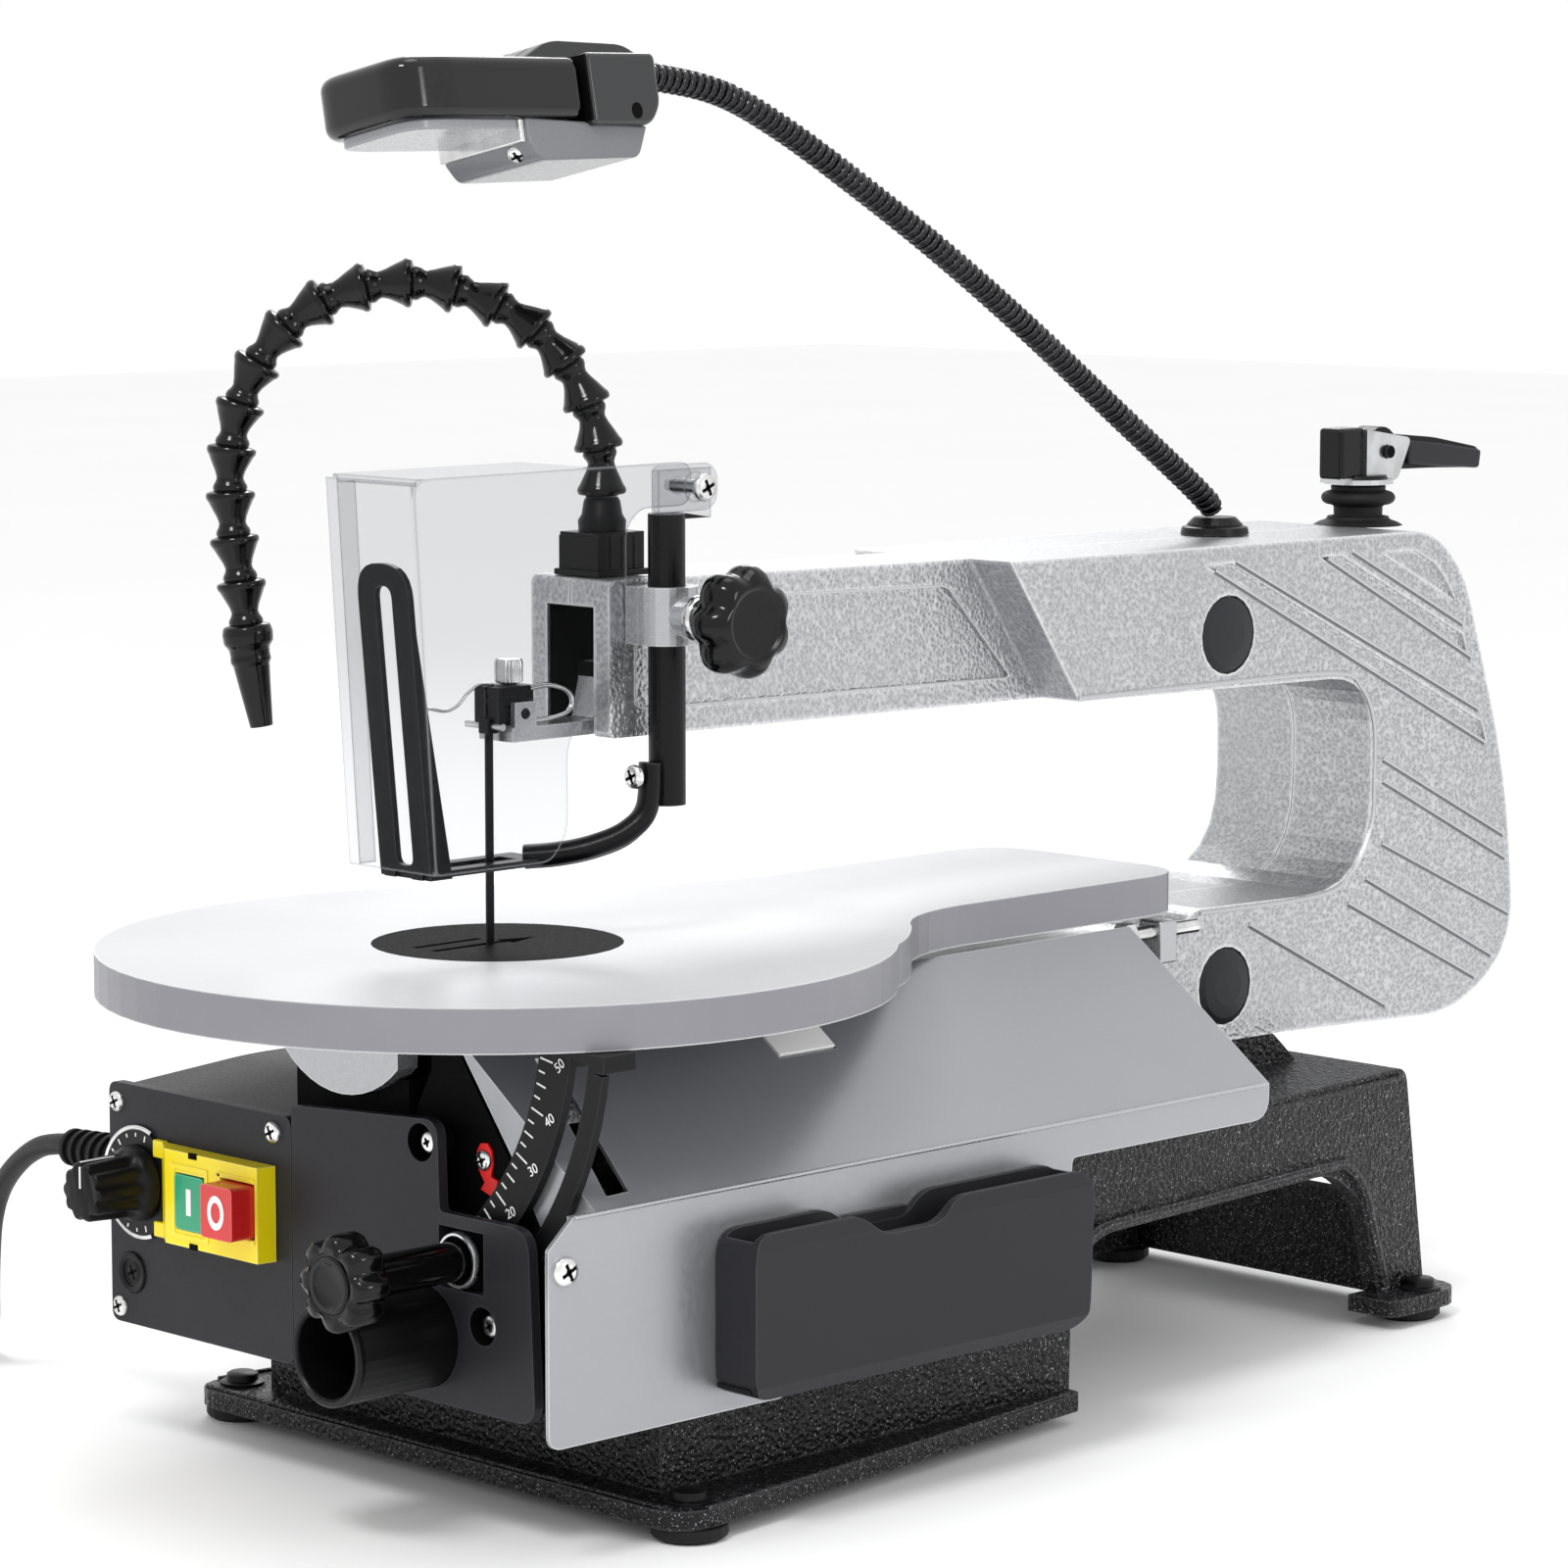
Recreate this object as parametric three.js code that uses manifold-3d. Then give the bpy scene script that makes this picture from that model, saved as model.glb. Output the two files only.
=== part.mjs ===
// Scroll saw, 16 inch class. Millimetres, +X the operator's right, +Y to the rear, +Z up.
// Every dimension below is measured from the blade line (x = 0, y = 0) and the floor (z = 0).
// The whole saw is then shifted so that the origin lies under the middle of its bounding box.
import * as THREE from 'three';
import { mergeVertices } from 'three/addons/utils/BufferGeometryUtils.js';
import Module from 'manifold-3d';

const wasm = await Module();
wasm.setup();

// ---------- driving dimensions ----------
const BLADE_X = -1.3; // the blade line in the finished frame
const BLADE_Y = -185.8;
const GAP = 0.3; // running gap between touching pieces
const TABLE_TOP = 169.6;
const TABLE_THICK = 14;
const TABLE_RADIUS = 127.5;
const TABLE_CENTRE_Y = 3.1;
const TAIL_HALF = 47.2;
const TAIL_END = 283.5;
const INSERT_RADIUS = 40;
const INSERT_THICK = 3.2;
const TILT_Z = 168; // height of the table's tilt axis
const TRUNNION_RADIUS = 39;
const SCALE_INNER = 92;
const SCALE_OUTER = 120;
const SCALE_SLOT = 109.5; // radius of the tilt scale's slot
const PIVOT_Y = 313.9; // both rocker arms turn here
const UPPER_PIVOT_Z = 249.2;
const LOWER_PIVOT_Z = 124.2;
const PIN_RADIUS = 5;
const HOUSING_HALF = 37; // half width of the C-frame's rear part
const NOSE_HALF = 18.5; // half width of its slim front part
const CAVITY_HALF = 11;
const ARM_HALF = 5;
const NOSE_Y = 35;
const ROD_X = 28; // hold-down rod
const ROD_Y = 51;
const ROD_RADIUS = 6;
const FRONT_Y = -68; // front face of the control panel
const PLATE = 3.5;
const COVER_LEFT = -110;
const PANEL_X = 112; // outer face of the side panel
const PANEL_FLANGE_Y = -57.6; // front of the side panel's inner flange
const MOTOR_Y = 120;
const MOTOR_Z = 78;
const MOTOR_RADIUS = 34;
const CRANK = 5.6; // throw of the drive crank
const TENSION_Y = 430; // rear tension rod
const CAM_Y = 437.7; // pin of the quick-release lever
const CAM_Z = 306.9;
const LAMP_Y = 349;
const HOSE_Y = 49;
const LOCK_X = 62.5; // tilt lock shaft
const LOCK_Z = 87;
const DUST_X = 45;
const DUST_Z = 61;
const CORD_RADIUS = 3.6;
const COIL_X = -290;
const COIL_Y = -75;
const COIL_RADIUS = 42; // middle of the coil's turns
const CORD_Y = -58;
const CORD_Z = 92;

// ---------- materials ----------
const paint = (color, roughness, metalness) =>
  new THREE.MeshStandardMaterial({ color, roughness, metalness });
const silver = paint(0xb9bbbf, 0.42, 0.75);
const plate = paint(0xcfcfd3, 0.35, 0.8);
const castBlack = paint(0x17181a, 0.55, 0.3);
const blackPlastic = paint(0x2a2b2f, 0.5, 0);
const glossBlack = paint(0x101012, 0.2, 0);
const steel = paint(0xc4c6c8, 0.25, 0.95);
const blackSteel = paint(0x1c1d20, 0.38, 0.6);
const yellow = paint(0xf6d80c, 0.4, 0);
const green = paint(0x169a63, 0.4, 0);
const red = paint(0xd0201d, 0.4, 0);
const clear = new THREE.MeshStandardMaterial(
  { color: 0xeef1f4, roughness: 0.05, transparent: true, opacity: 0.3 },
);
const rubber = paint(0x161616, 0.8, 0);

// ---------- geometry helpers ----------
const vec = (x, y, z) => new THREE.Vector3(x, y, z);

function solid(geometry) {
  const bare = geometry.clone();
  bare.deleteAttribute('normal');
  bare.deleteAttribute('uv');
  const merged = mergeVertices(bare, 1e-4);
  const mesh = new wasm.Mesh({
    numProp: 3,
    vertProperties: new Float32Array(merged.attributes.position.array),
    triVerts: new Uint32Array(merged.index.array),
  });
  return new wasm.Manifold(mesh);
}

function geometryOf(body) {
  const mesh = body.getMesh();
  const geometry = new THREE.BufferGeometry();
  geometry.setAttribute('position', new THREE.BufferAttribute(mesh.vertProperties, 3));
  geometry.setIndex(new THREE.BufferAttribute(mesh.triVerts, 1));
  geometry.computeVertexNormals();
  return geometry;
}

const join = (...bodies) => bodies.reduce((sum, body) => sum.add(body));
const cut = (body, ...tools) => tools.reduce((rest, tool) => rest.subtract(tool), body);

function box(x0, x1, y0, y1, z0, z1) {
  const geometry = new THREE.BoxGeometry(x1 - x0, y1 - y0, z1 - z0);
  geometry.translate((x0 + x1) / 2, (y0 + y1) / 2, (z0 + z1) / 2);
  return solid(geometry);
}

// A cylinder or cone between two heights of one axis; a and b are its two other coordinates.
function rod(axis, a, b, low, high, radius, sides = 20, topRadius = radius) {
  const geometry = new THREE.CylinderGeometry(topRadius, radius, high - low, sides);
  const middle = (low + high) / 2;
  if (axis === 'x') {
    geometry.rotateZ(-Math.PI / 2);
    geometry.translate(middle, a, b);
  } else if (axis === 'y') {
    geometry.translate(a, middle, b);
  } else {
    geometry.rotateX(Math.PI / 2);
    geometry.translate(a, b, middle);
  }
  return solid(geometry);
}

// A shape extruded along one axis. Its plane is (y, z) for x, (x, z) for y and (x, y) for z.
function prism(axis, shape, low, high, curveSegments = 5) {
  const geometry = new THREE.ExtrudeGeometry(
    shape, { depth: high - low, bevelEnabled: false, curveSegments },
  );
  const turn = new THREE.Matrix4();
  if (axis === 'x') {
    turn.makeBasis(vec(0, 1, 0), vec(0, 0, 1), vec(1, 0, 0)).setPosition(low, 0, 0);
  } else if (axis === 'y') {
    turn.makeBasis(vec(1, 0, 0), vec(0, 0, 1), vec(0, -1, 0)).setPosition(0, high, 0);
  } else {
    turn.setPosition(0, 0, low);
  }
  geometry.applyMatrix4(turn);
  return solid(geometry);
}

const outline = (...points) => new THREE.Shape(points.map(([a, b]) => new THREE.Vector2(a, b)));

// A polygon whose corners are rounded; each point may carry its own radius.
function rounded(points, radius = 4) {
  const shape = new THREE.Shape();
  points.forEach(([a, b, own = radius], i) => {
    const corner = new THREE.Vector2(a, b);
    const [pa, pb] = points[(i + points.length - 1) % points.length];
    const [na, nb] = points[(i + 1) % points.length];
    const before = new THREE.Vector2(pa, pb).sub(corner);
    const after = new THREE.Vector2(na, nb).sub(corner);
    const reach = Math.min(own, before.length() * 0.49, after.length() * 0.49);
    const start = corner.clone().add(before.setLength(reach));
    const end = corner.clone().add(after.setLength(reach));
    if (i === 0) {
      shape.moveTo(start.x, start.y);
    } else {
      shape.lineTo(start.x, start.y);
    }
    if (reach > 0) {
      shape.quadraticCurveTo(corner.x, corner.y, end.x, end.y);
    }
  });
  return shape;
}

const rectangle = (a0, a1, b0, b1, radius = 3) => rounded([[a0, b0], [a1, b0], [a1, b1], [a0, b1]], radius);

// A body of revolution from [radius, height] pairs that start and end on the axis.
function lathe(axis, a, b, profile, sides = 24) {
  const geometry = new THREE.LatheGeometry(profile.map(([r, h]) => new THREE.Vector2(r, h)), sides);
  if (axis === 'x') {
    geometry.rotateZ(-Math.PI / 2);
    geometry.translate(0, a, b);
  } else if (axis === 'y') {
    geometry.translate(a, 0, b);
  } else {
    geometry.rotateX(Math.PI / 2);
    geometry.translate(a, b, 0);
  }
  return solid(geometry);
}

function tube(points, radius, sides, steps) {
  const section = new THREE.Shape();
  section.absarc(0, 0, radius, 0, Math.PI * 2, false);
  const path = new THREE.CatmullRomCurve3(points.map(([x, y, z]) => vec(x, y, z)));
  const settings = { steps, extrudePath: path, bevelEnabled: false, curveSegments: sides / 2 };
  return solid(new THREE.ExtrudeGeometry(section, settings));
}

// A band between two radii and two angles (degrees) about a centre.
function sector(centreA, centreB, inner, outer, from, to) {
  const shape = new THREE.Shape();
  const start = THREE.MathUtils.degToRad(from);
  const end = THREE.MathUtils.degToRad(to);
  shape.absarc(centreA, centreB, outer, start, end, false);
  shape.absarc(centreA, centreB, inner, end, start, true);
  return shape;
}

const saw = new THREE.Group();
const machine = new THREE.Group();
machine.position.set(BLADE_X, BLADE_Y, 0);
saw.add(machine);

function piece(name, body, material) {
  const mesh = new THREE.Mesh(geometryOf(body), material);
  mesh.name = name;
  machine.add(mesh);
}

// ---------- base ----------
const FOOT_HEIGHT = 5;
const FLANGE_TOP = 11;
const FRONT_FEET = [108, -16];
const REAR_FEET = [70, 378];

function baseCasting() {
  const side = rounded([
    [-15, FOOT_HEIGHT, 0], [175, FOOT_HEIGHT, 0], [176, 50, 6], [192, 60, 8], [328, 60, 10], [348, 46, 8],
    [360, FOOT_HEIGHT, 0], [388, FOOT_HEIGHT, 0], [374, 92, 6], [168, 92, 6], [158, 38, 4], [-15, 38, 4],
  ]);
  const plan = (inset) => outline(
    [-94 + inset, -15 + inset], [94 - inset, -15 + inset], [90 - inset, 175], [70 - inset, 388 - inset],
    [-70 + inset, 388 - inset], [-90 + inset, 175],
  );
  const WALL = 6;
  const body = prism('x', side, -100, 100).intersect(prism('z', plan(0), 0, 100));
  const frontHollow = prism('z', plan(WALL), -1, 32).intersect(box(-100, 100, -15, 158, -1, 100));
  const rearHollow = prism('z', plan(WALL), -1, 92 - WALL).intersect(box(-100, 100, 168, 400, -1, 100));
  const motorNotch = box(-100, -26, 150, 200, 36, 100);
  const frontFlange = rounded([[-120, -30, 16], [120, -30, 16], [97, 174, 4], [-97, 174, 4]]);
  const rearFlange = rounded([
    [-70, 352, 6], [-84, 352, 8], [-84, 394, 14], [84, 394, 14], [84, 352, 8], [70, 352, 6],
  ]);
  const flanges = join(
    cut(prism('z', frontFlange, FOOT_HEIGHT, FLANGE_TOP), box(-88, 88, -9, 158, 0, 20)),
    cut(prism('z', rearFlange, FOOT_HEIGHT, FLANGE_TOP), box(-64, 64, 340, 382, 0, 20)),
  );
  const pad = prism(
    'x', rounded([[286, 90], [360, 90], [350, 99, 3], [345, 103.2, 2], [292, 103.2, 2]], 0), -33, 33,
  );
  return join(cut(body, frontHollow, rearHollow), flanges, pad).subtract(motorNotch);
}

function rubberFoot(x, y) {
  return lathe('z', x, y, [[0, 0], [10, 0], [12, 1.5], [12, FOOT_HEIGHT - GAP],
  [0, FOOT_HEIGHT - GAP]], 18);
}

// ---------- C-frame housing ----------
function housingSide() {
  return rounded([
    [NOSE_Y, 233.5, 2], [247, 231.3, 20], [394.6, 229, 24], [394.6, 151, 40], [296, 153.4, 8],
    [286, 144, 6],
    [NOSE_Y, 144, 2], [NOSE_Y, 104, 2], [336, 104.2, 20], [446, 99.5, 34], [480, 122, 26], [474, 185, 30],
    [447, 263, 22], [428, 280, 16], [186, 281.5, 20], [NOSE_Y, 284, 3],
  ]);
}

// The raised diagonal bands leave shallow recesses between them.
function housingRecesses(face, depth) {
  const field = rounded([
    [250, 237, 6], [402, 235, 20], [402, 172, 8], [398, 145, 22], [296, 147, 8], [296, 110, 4],
    [440, 107, 20],
    [473, 124, 20], [467, 183, 20], [440, 258, 16], [424, 273, 10], [252, 275, 6],
  ]);
  const SLOPE = -0.47;
  const bands = [[302, 14], [363, 12], [398, 18], [466, 16], [530, 22]];
  const strips = bands.map(([start, width]) => outline(
    [start - 60, 274 - 60 * SLOPE], [start - 60 + width, 274 - 60 * SLOPE],
    [start + 240 + width, 274 + 240 * SLOPE], [start + 240, 274 + 240 * SLOPE],
  ));
  const low = face > 0 ? face - depth : face - 1;
  const high = face > 0 ? face + 1 : face + depth;
  const allowed = prism('x', field, low, high);
  const keepCaps = join(
    rod('x', PIVOT_Y, UPPER_PIVOT_Z, low - 1, high + 1, 19),
    rod('x', PIVOT_Y, LOWER_PIVOT_Z, low - 1, high + 1, 19),
  );
  return join(...strips.map((strip) => prism('x', strip, low, high))).intersect(allowed).subtract(keepCaps);
}

function housingCavity() {
  const upper = prism(
    'x', rounded([[-20, 237], [446, 237], [446, 275], [-20, 275]], 0), -CAVITY_HALF, CAVITY_HALF,
  );
  const lower = box(-CAVITY_HALF, CAVITY_HALF, -20, 446, 108, 140);
  const rear = box(-CAVITY_HALF, CAVITY_HALF, 414, 446, 108, 275);
  const upperMouth = box(-CAVITY_HALF, CAVITY_HALF, 20, 120, 220, 250);
  const lowerMouth = box(-CAVITY_HALF, CAVITY_HALF, 20, 165, 90, 120);
  const tensionHole = rod('z', 0, TENSION_Y, 260, 300, 9.8, 24);
  return join(upper, lower, rear, upperMouth, lowerMouth, tensionHole);
}

function housingHalf(sign) {
  const seam = sign * GAP / 2;
  const face = sign * HOUSING_HALF;
  const low = Math.min(seam, face);
  const high = Math.max(seam, face);
  let half = prism('x', housingSide(), low, high, 6);
  // The slim front parts: the upper arm's side starts at a slanted edge, the lower arm's under the table.
  const slimUpper = outline([0, 200], [240, 200], [236, 232], [188, 300], [0, 300]);
  const outside = (inner) => [Math.min(sign * inner, sign * 60), Math.max(sign * inner, sign * 60)];
  half = cut(
    half,
    prism('x', slimUpper, ...outside(NOSE_HALF)),
    box(...outside(24), 0, 232, 90, 160),
    housingCavity(),
    housingRecesses(face, 1.2),
    prism('x', rounded([[46, 242], [222, 239.5], [190, 273], [46, 276]], 3), ...outside(NOSE_HALF - 1.2)),
    rod('x', PIVOT_Y, UPPER_PIVOT_Z, -60, 60, PIN_RADIUS + GAP, 16),
    rod('x', PIVOT_Y, LOWER_PIVOT_Z, -60, 60, PIN_RADIUS + GAP, 16),
    rod('x', PIVOT_Y, UPPER_PIVOT_Z, ...outside(HOUSING_HALF - 3), 14),
    rod('x', PIVOT_Y, LOWER_PIVOT_Z, ...outside(HOUSING_HALF - 3), 14),
  );
  return half;
}

function pivotCap(sign, z) {
  const inner = HOUSING_HALF - 3 + GAP;
  const profile = [[0, inner], [13.5, inner], [13.5, 36.6], [11.5, 38], [7, 38.8], [0, 39.1]];
  const cap = lathe('x', PIVOT_Y, z, profile, 24);
  return sign > 0 ? cap : cap.mirror([1, 0, 0]);
}

// ---------- rocker arms, blade and drive ----------
function rockerArm(pivotZ, points, boss) {
  const bar = prism('x', rounded(points, 2), -ARM_HALF, ARM_HALF, 3);
  const end = box(-9, 9, TENSION_Y - 12, TENSION_Y + 12, boss[0], boss[1]);
  const hub = rod('x', PIVOT_Y, pivotZ, -9, 9, 11, 20);
  return cut(
    join(bar, end, hub),
    rod('x', PIVOT_Y, pivotZ, -20, 20, PIN_RADIUS + GAP, 16),
    rod('z', 0, TENSION_Y, boss[0] - 5, boss[1] + 5, 5, 16),
  );
}

function upperArm() {
  const bar = rockerArm(UPPER_PIVOT_Z, [
    [30, 234.6, 0], [52, 234.6], [78, 243.5], [PIVOT_Y, 241], [432, 245.2], [432, 256.4], [PIVOT_Y, 258],
    [78, 258], [44, 256], [40, 238], [30, 238, 0],
  ], [244.5, 257]);
  const tongue = box(-8, 8, 3, 40, 234, 238.5);
  const ear = (x0) => box(x0, x0 + 2, 4, 13, 238, 246.5);
  return cut(join(bar, tongue, ear(6), ear(-8)), rod('x', 8.5, 242.8, -10, 10, 1.9, 10));
}

function lowerArm() {
  const bar = rockerArm(LOWER_PIVOT_Z, [
    [34, 120.5, 0], [44, 120.5], [62, 113], [PIVOT_Y, 113], [432, 118.6], [432, 128.4], [PIVOT_Y, 131],
    [62, 129], [44, 123], [34, 123, 0],
  ], [118, 129]);
  const tongue = box(-8, 8, 3, 42, 119.5, 124);
  return cut(join(bar, tongue), rod('x', MOTOR_Y, 119.5, -10, 10, 3.4, 14));
}

function upperClamp() {
  const block = box(-5.6, 5.6, -1, 14, 239.2, 251.5);
  const slot = box(-0.6, 0.6, -2, 4.4, 238, 253);
  return join(cut(block, slot), rod('x', 8.5, 242.8, -8.6, 8.6, 1.5, 10));
}

function lowerClamp() {
  return cut(box(-5.6, 5.6, -1, 14, 106, 118.8), box(-0.6, 0.6, -2, 4.4, 105, 120));
}

function thumbScrew(low, high) {
  return rod('z', 0, 8.5, low, high, 4.6, 18);
}

function blade() {
  const band = box(-0.25, 0.25, -1.6, 1.6, 107, 250);
  const pin = (z) => rod('x', 0, z, -0.5, 0.5, 1.2, 10);
  return join(band, pin(247), pin(110));
}

function conRod() {
  const ring = rod('x', MOTOR_Y, MOTOR_Z, -10.3, -6.3, 20, 28);
  const shank = box(-10.3, -6.3, MOTOR_Y - 5, MOTOR_Y + 5, MOTOR_Z + 18, 119.5);
  const eye = rod('x', MOTOR_Y, 119.5, -10.3, -6.3, 7, 18);
  const pin = rod('x', MOTOR_Y, 119.5, -7, ARM_HALF, 3, 14);
  return join(cut(join(ring, shank), rod('x', MOTOR_Y, MOTOR_Z, -20, 0, 16, 28)), eye, pin);
}

function driveCrank() {
  const disc = rod('x', MOTOR_Y, MOTOR_Z, -22, -13, 13, 24);
  const pin = rod('x', MOTOR_Y + CRANK, MOTOR_Z, -14, -6.8, 3.5, 14);
  const shaft = rod('x', MOTOR_Y, MOTOR_Z, -104, -21, 4, 14);
  return join(disc, pin, shaft, fanBlades());
}

function fanBlades() {
  const hub = rod('x', MOTOR_Y, MOTOR_Z, -103, -98, 10, 18);
  const blades = [];
  const BLADES = 8;
  for (let i = 0; i < BLADES; i += 1) {
    const vane = new THREE.BoxGeometry(4.5, 20, 1.6);
    vane.translate(-100.5, 18, 0);
    vane.rotateX((i * 2 * Math.PI) / BLADES);
    vane.translate(0, MOTOR_Y, MOTOR_Z);
    blades.push(solid(vane));
  }
  return join(hub, ...blades);
}

function motorCan() {
  const can = rod('x', MOTOR_Y, MOTOR_Z, -96, -28, MOTOR_RADIUS, 28);
  const bore = rod('x', MOTOR_Y, MOTOR_Z, -110, 0, 4 + GAP, 14);
  const winding = rod('x', MOTOR_Y, MOTOR_Z, -92, -32, MOTOR_RADIUS - 3, 28);
  const window = box(-80, -44, MOTOR_Y - 5, MOTOR_Y + 5, MOTOR_Z, MOTOR_Z + 60);
  return cut(can, bore, winding, window);
}

function tensionRod() {
  const shaft = rod('z', 0, TENSION_Y, 112, 296, 3.2, 14);
  const foot = rod('z', 0, TENSION_Y, 112, 117.4, 7, 16);
  const collar = rod('z', 0, TENSION_Y, 257.6, 261, 7, 16);
  const washer = rod('z', 0, TENSION_Y, 295.2, 297, 13, 24);
  const cheek = (x) => prism(
    'x', rounded([[426, 296, 0], [444, 296, 3], [452, 311.5, 3], [426, 315.5, 0]]), x, x + 2.2,
  );
  const block = box(-5.1, 5.1, 414, 427.6, 296, 315.5);
  return cut(
    join(shaft, foot, collar, washer, block, cheek(-7.2), cheek(5)),
    rod('x', CAM_Y, CAM_Z, -20, 20, 2.7, 12),
  );
}

function tensionKnob() {
  const body = lathe('z', 0, TENSION_Y, [
    [0, 282], [8.8, 282], [8.8, 288.5], [12.4, 288.5], [13.2, 290], [12.4, 292.4], [10, 292.8],
    [10, 294.8], [0, 294.8],
  ], 28);
  return cut(body, rod('z', 0, TENSION_Y, 270, 300, 3.2 + GAP, 14));
}

function camLever() {
  const cam = rod('x', CAM_Y, CAM_Z, -4.6, 4.6, 9.2, 24);
  const outlineOfHandle = rounded(
    [[440, 300, 2], [468, 299.5], [495, 298.4], [496, 306], [468, 311], [440, 313.5]], 4,
  );
  return join(cam, prism('x', outlineOfHandle, -4.6, 4.6), rod('x', CAM_Y, CAM_Z, -9, 9, 2.4, 12));
}

// ---------- table ----------
function tableShape() {
  const shape = new THREE.Shape();
  const LEAVE = THREE.MathUtils.degToRad(44);
  const edgeX = Math.cos(LEAVE) * TABLE_RADIUS;
  const edgeY = TABLE_CENTRE_Y + Math.sin(LEAVE) * TABLE_RADIUS;
  const ARCS = 4;
  const sweep = (Math.PI + 2 * LEAVE) / ARCS;
  for (let i = 0; i < ARCS; i += 1) {
    const from = Math.PI - LEAVE + i * sweep;
    shape.absarc(0, TABLE_CENTRE_Y, TABLE_RADIUS, from, from + sweep, false);
  }
  shape.quadraticCurveTo(edgeX - 6, edgeY + 12, 70, 120);
  shape.quadraticCurveTo(TAIL_HALF + 1, 137, TAIL_HALF, 168);
  shape.lineTo(TAIL_HALF, TAIL_END - 22);
  shape.quadraticCurveTo(TAIL_HALF, TAIL_END, TAIL_HALF - 22, TAIL_END);
  shape.lineTo(22 - TAIL_HALF, TAIL_END);
  shape.quadraticCurveTo(-TAIL_HALF, TAIL_END, -TAIL_HALF, TAIL_END - 22);
  shape.lineTo(-TAIL_HALF, 168);
  shape.quadraticCurveTo(-TAIL_HALF - 1, 137, -70, 120);
  shape.quadraticCurveTo(6 - edgeX, edgeY + 12, -edgeX, edgeY);
  return shape;
}

function table() {
  const bottom = TABLE_TOP - TABLE_THICK;
  return cut(
    prism('z', tableShape(), bottom, TABLE_TOP, 6),
    rod('z', 0, TABLE_CENTRE_Y, 100, 200, 35, 36),
    rod('z', 0, TABLE_CENTRE_Y, TABLE_TOP - INSERT_THICK - GAP, 200, INSERT_RADIUS + GAP, 36),
  );
}

function tableInsert() {
  const disc = rod('z', 0, TABLE_CENTRE_Y, TABLE_TOP - INSERT_THICK, TABLE_TOP, INSERT_RADIUS, 36);
  const slotA = box(-1.8, 1.8, -24, 6, 150, 200);
  const arrow = prism('z', outline([-4.5, 6], [4.5, 6], [0, 20]), 150, 200);
  const slotB = box(-11, -8, -24, 4, 150, 200);
  return cut(disc, slotA, arrow, slotB);
}

function trunnion(y0, y1) {
  const bottom = TABLE_TOP - TABLE_THICK - GAP;
  const disc = rod('y', 0, TILT_Z, y0, y1, TRUNNION_RADIUS, 48);
  return disc.intersect(box(-27, 27, y0, y1, 100, bottom));
}

// The seat's two rails run back to the front of the C-frame's lower arm.
function trunnionSeat() {
  const block = box(-27, 27, -57.4, -48, 104, 136);
  const rail = (x0) => box(x0, x0 + 10, -50, NOSE_Y - GAP, 119, 135);
  const cradle = rod('y', 0, TILT_Z, -70, -40, TRUNNION_RADIUS + GAP, 48);
  return join(cut(block, cradle), rail(12.5), rail(-22.5));
}

function tiltScale() {
  const plateBody = prism('y', sector(0, TILT_Z, SCALE_INNER, SCALE_OUTER, -78, -9), -61, -58, 10);
  const tab = box(91, 119, -61, -48, 150, TABLE_TOP - TABLE_THICK - GAP);
  const slotShape = sector(0, TILT_Z, SCALE_SLOT - 4, SCALE_SLOT + 4, -44, -8);
  return cut(join(plateBody, tab), prism('y', slotShape, -70, -40, 10));
}

function lockKnob() {
  const grip = lathe(
    'y', LOCK_X, LOCK_Z, [[0, -120], [11, -120], [14.5, -117.5], [14.5, -108], [11, -104], [0, -104]],
    24,
  );
  const shaft = rod('y', LOCK_X, LOCK_Z, -105, -61.4, ROD_RADIUS, 18);
  const flutes = [];
  const FLUTES = 8;
  for (let i = 0; i < FLUTES; i += 1) {
    const angle = (i * 2 * Math.PI) / FLUTES;
    flutes.push(rod('y', LOCK_X + 16 * Math.cos(angle), LOCK_Z + 16 * Math.sin(angle), -125, -100, 3, 10));
  }
  return join(cut(grip, ...flutes), shaft);
}

// ---------- body panels and controls ----------
function controlPanel() {
  const face = prism('y', rectangle(COVER_LEFT, -17.6, 41, 120, 4), FRONT_Y, FRONT_Y + PLATE, 6);
  return cut(face, rod('y', -93.5, 88.7, -80, -50, 5, 14), box(-68, -26, -80, -50, 77, 99));
}

function frontCover() {
  const shape = rounded([
    [-17.2, 41, 8], [96, 41, 8], [93, 100.5, 8], [53, 100.5, 2], [52, 128.5, 6], [-17.2, 124, 2],
  ]);
  const face = prism('y', shape, FRONT_Y, FRONT_Y + PLATE, 6);
  const hole = box(52.5, 73, -80, -50, 77.5, 96.5);
  const port = rod('y', DUST_X, DUST_Z, -80, -50, 16.3, 28);
  const recess = (x, z) => rod('y', x, z, -80, -50, 6, 24);
  return cut(face, hole, port, recess(44.3, 120.6), recess(72.4, 68));
}

function motorCover() {
  const y0 = FRONT_Y + PLATE + GAP;
  const side = rounded([
    [y0, 41, 2], [176, 41, 16], [176, 112, 14], [150, 121.5, 16], [-10, 121.5, 8], [y0, 117.5, 2],
  ]);
  const outer = prism('x', side, COVER_LEFT, -29, 6);
  const innerSide = rounded(
    [[y0 - 5, 43.5], [173.5, 43.5], [173.5, 110], [149, 119], [-10, 119], [y0 - 5, 115]], 6,
  );
  const inner = prism('x', innerSide, COVER_LEFT + 2.5, 0, 6);
  const slots = [];
  const SLOTS = 7;
  for (let i = 0; i < SLOTS; i += 1) {
    slots.push(box(-120, -100, 84 + i * 11, 89 + i * 11, 58, 98));
  }
  const cordHole = rod('x', CORD_Y, CORD_Z, -130, -90, 5, 16);
  return cut(outer, inner, cordHole, ...slots);
}

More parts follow.
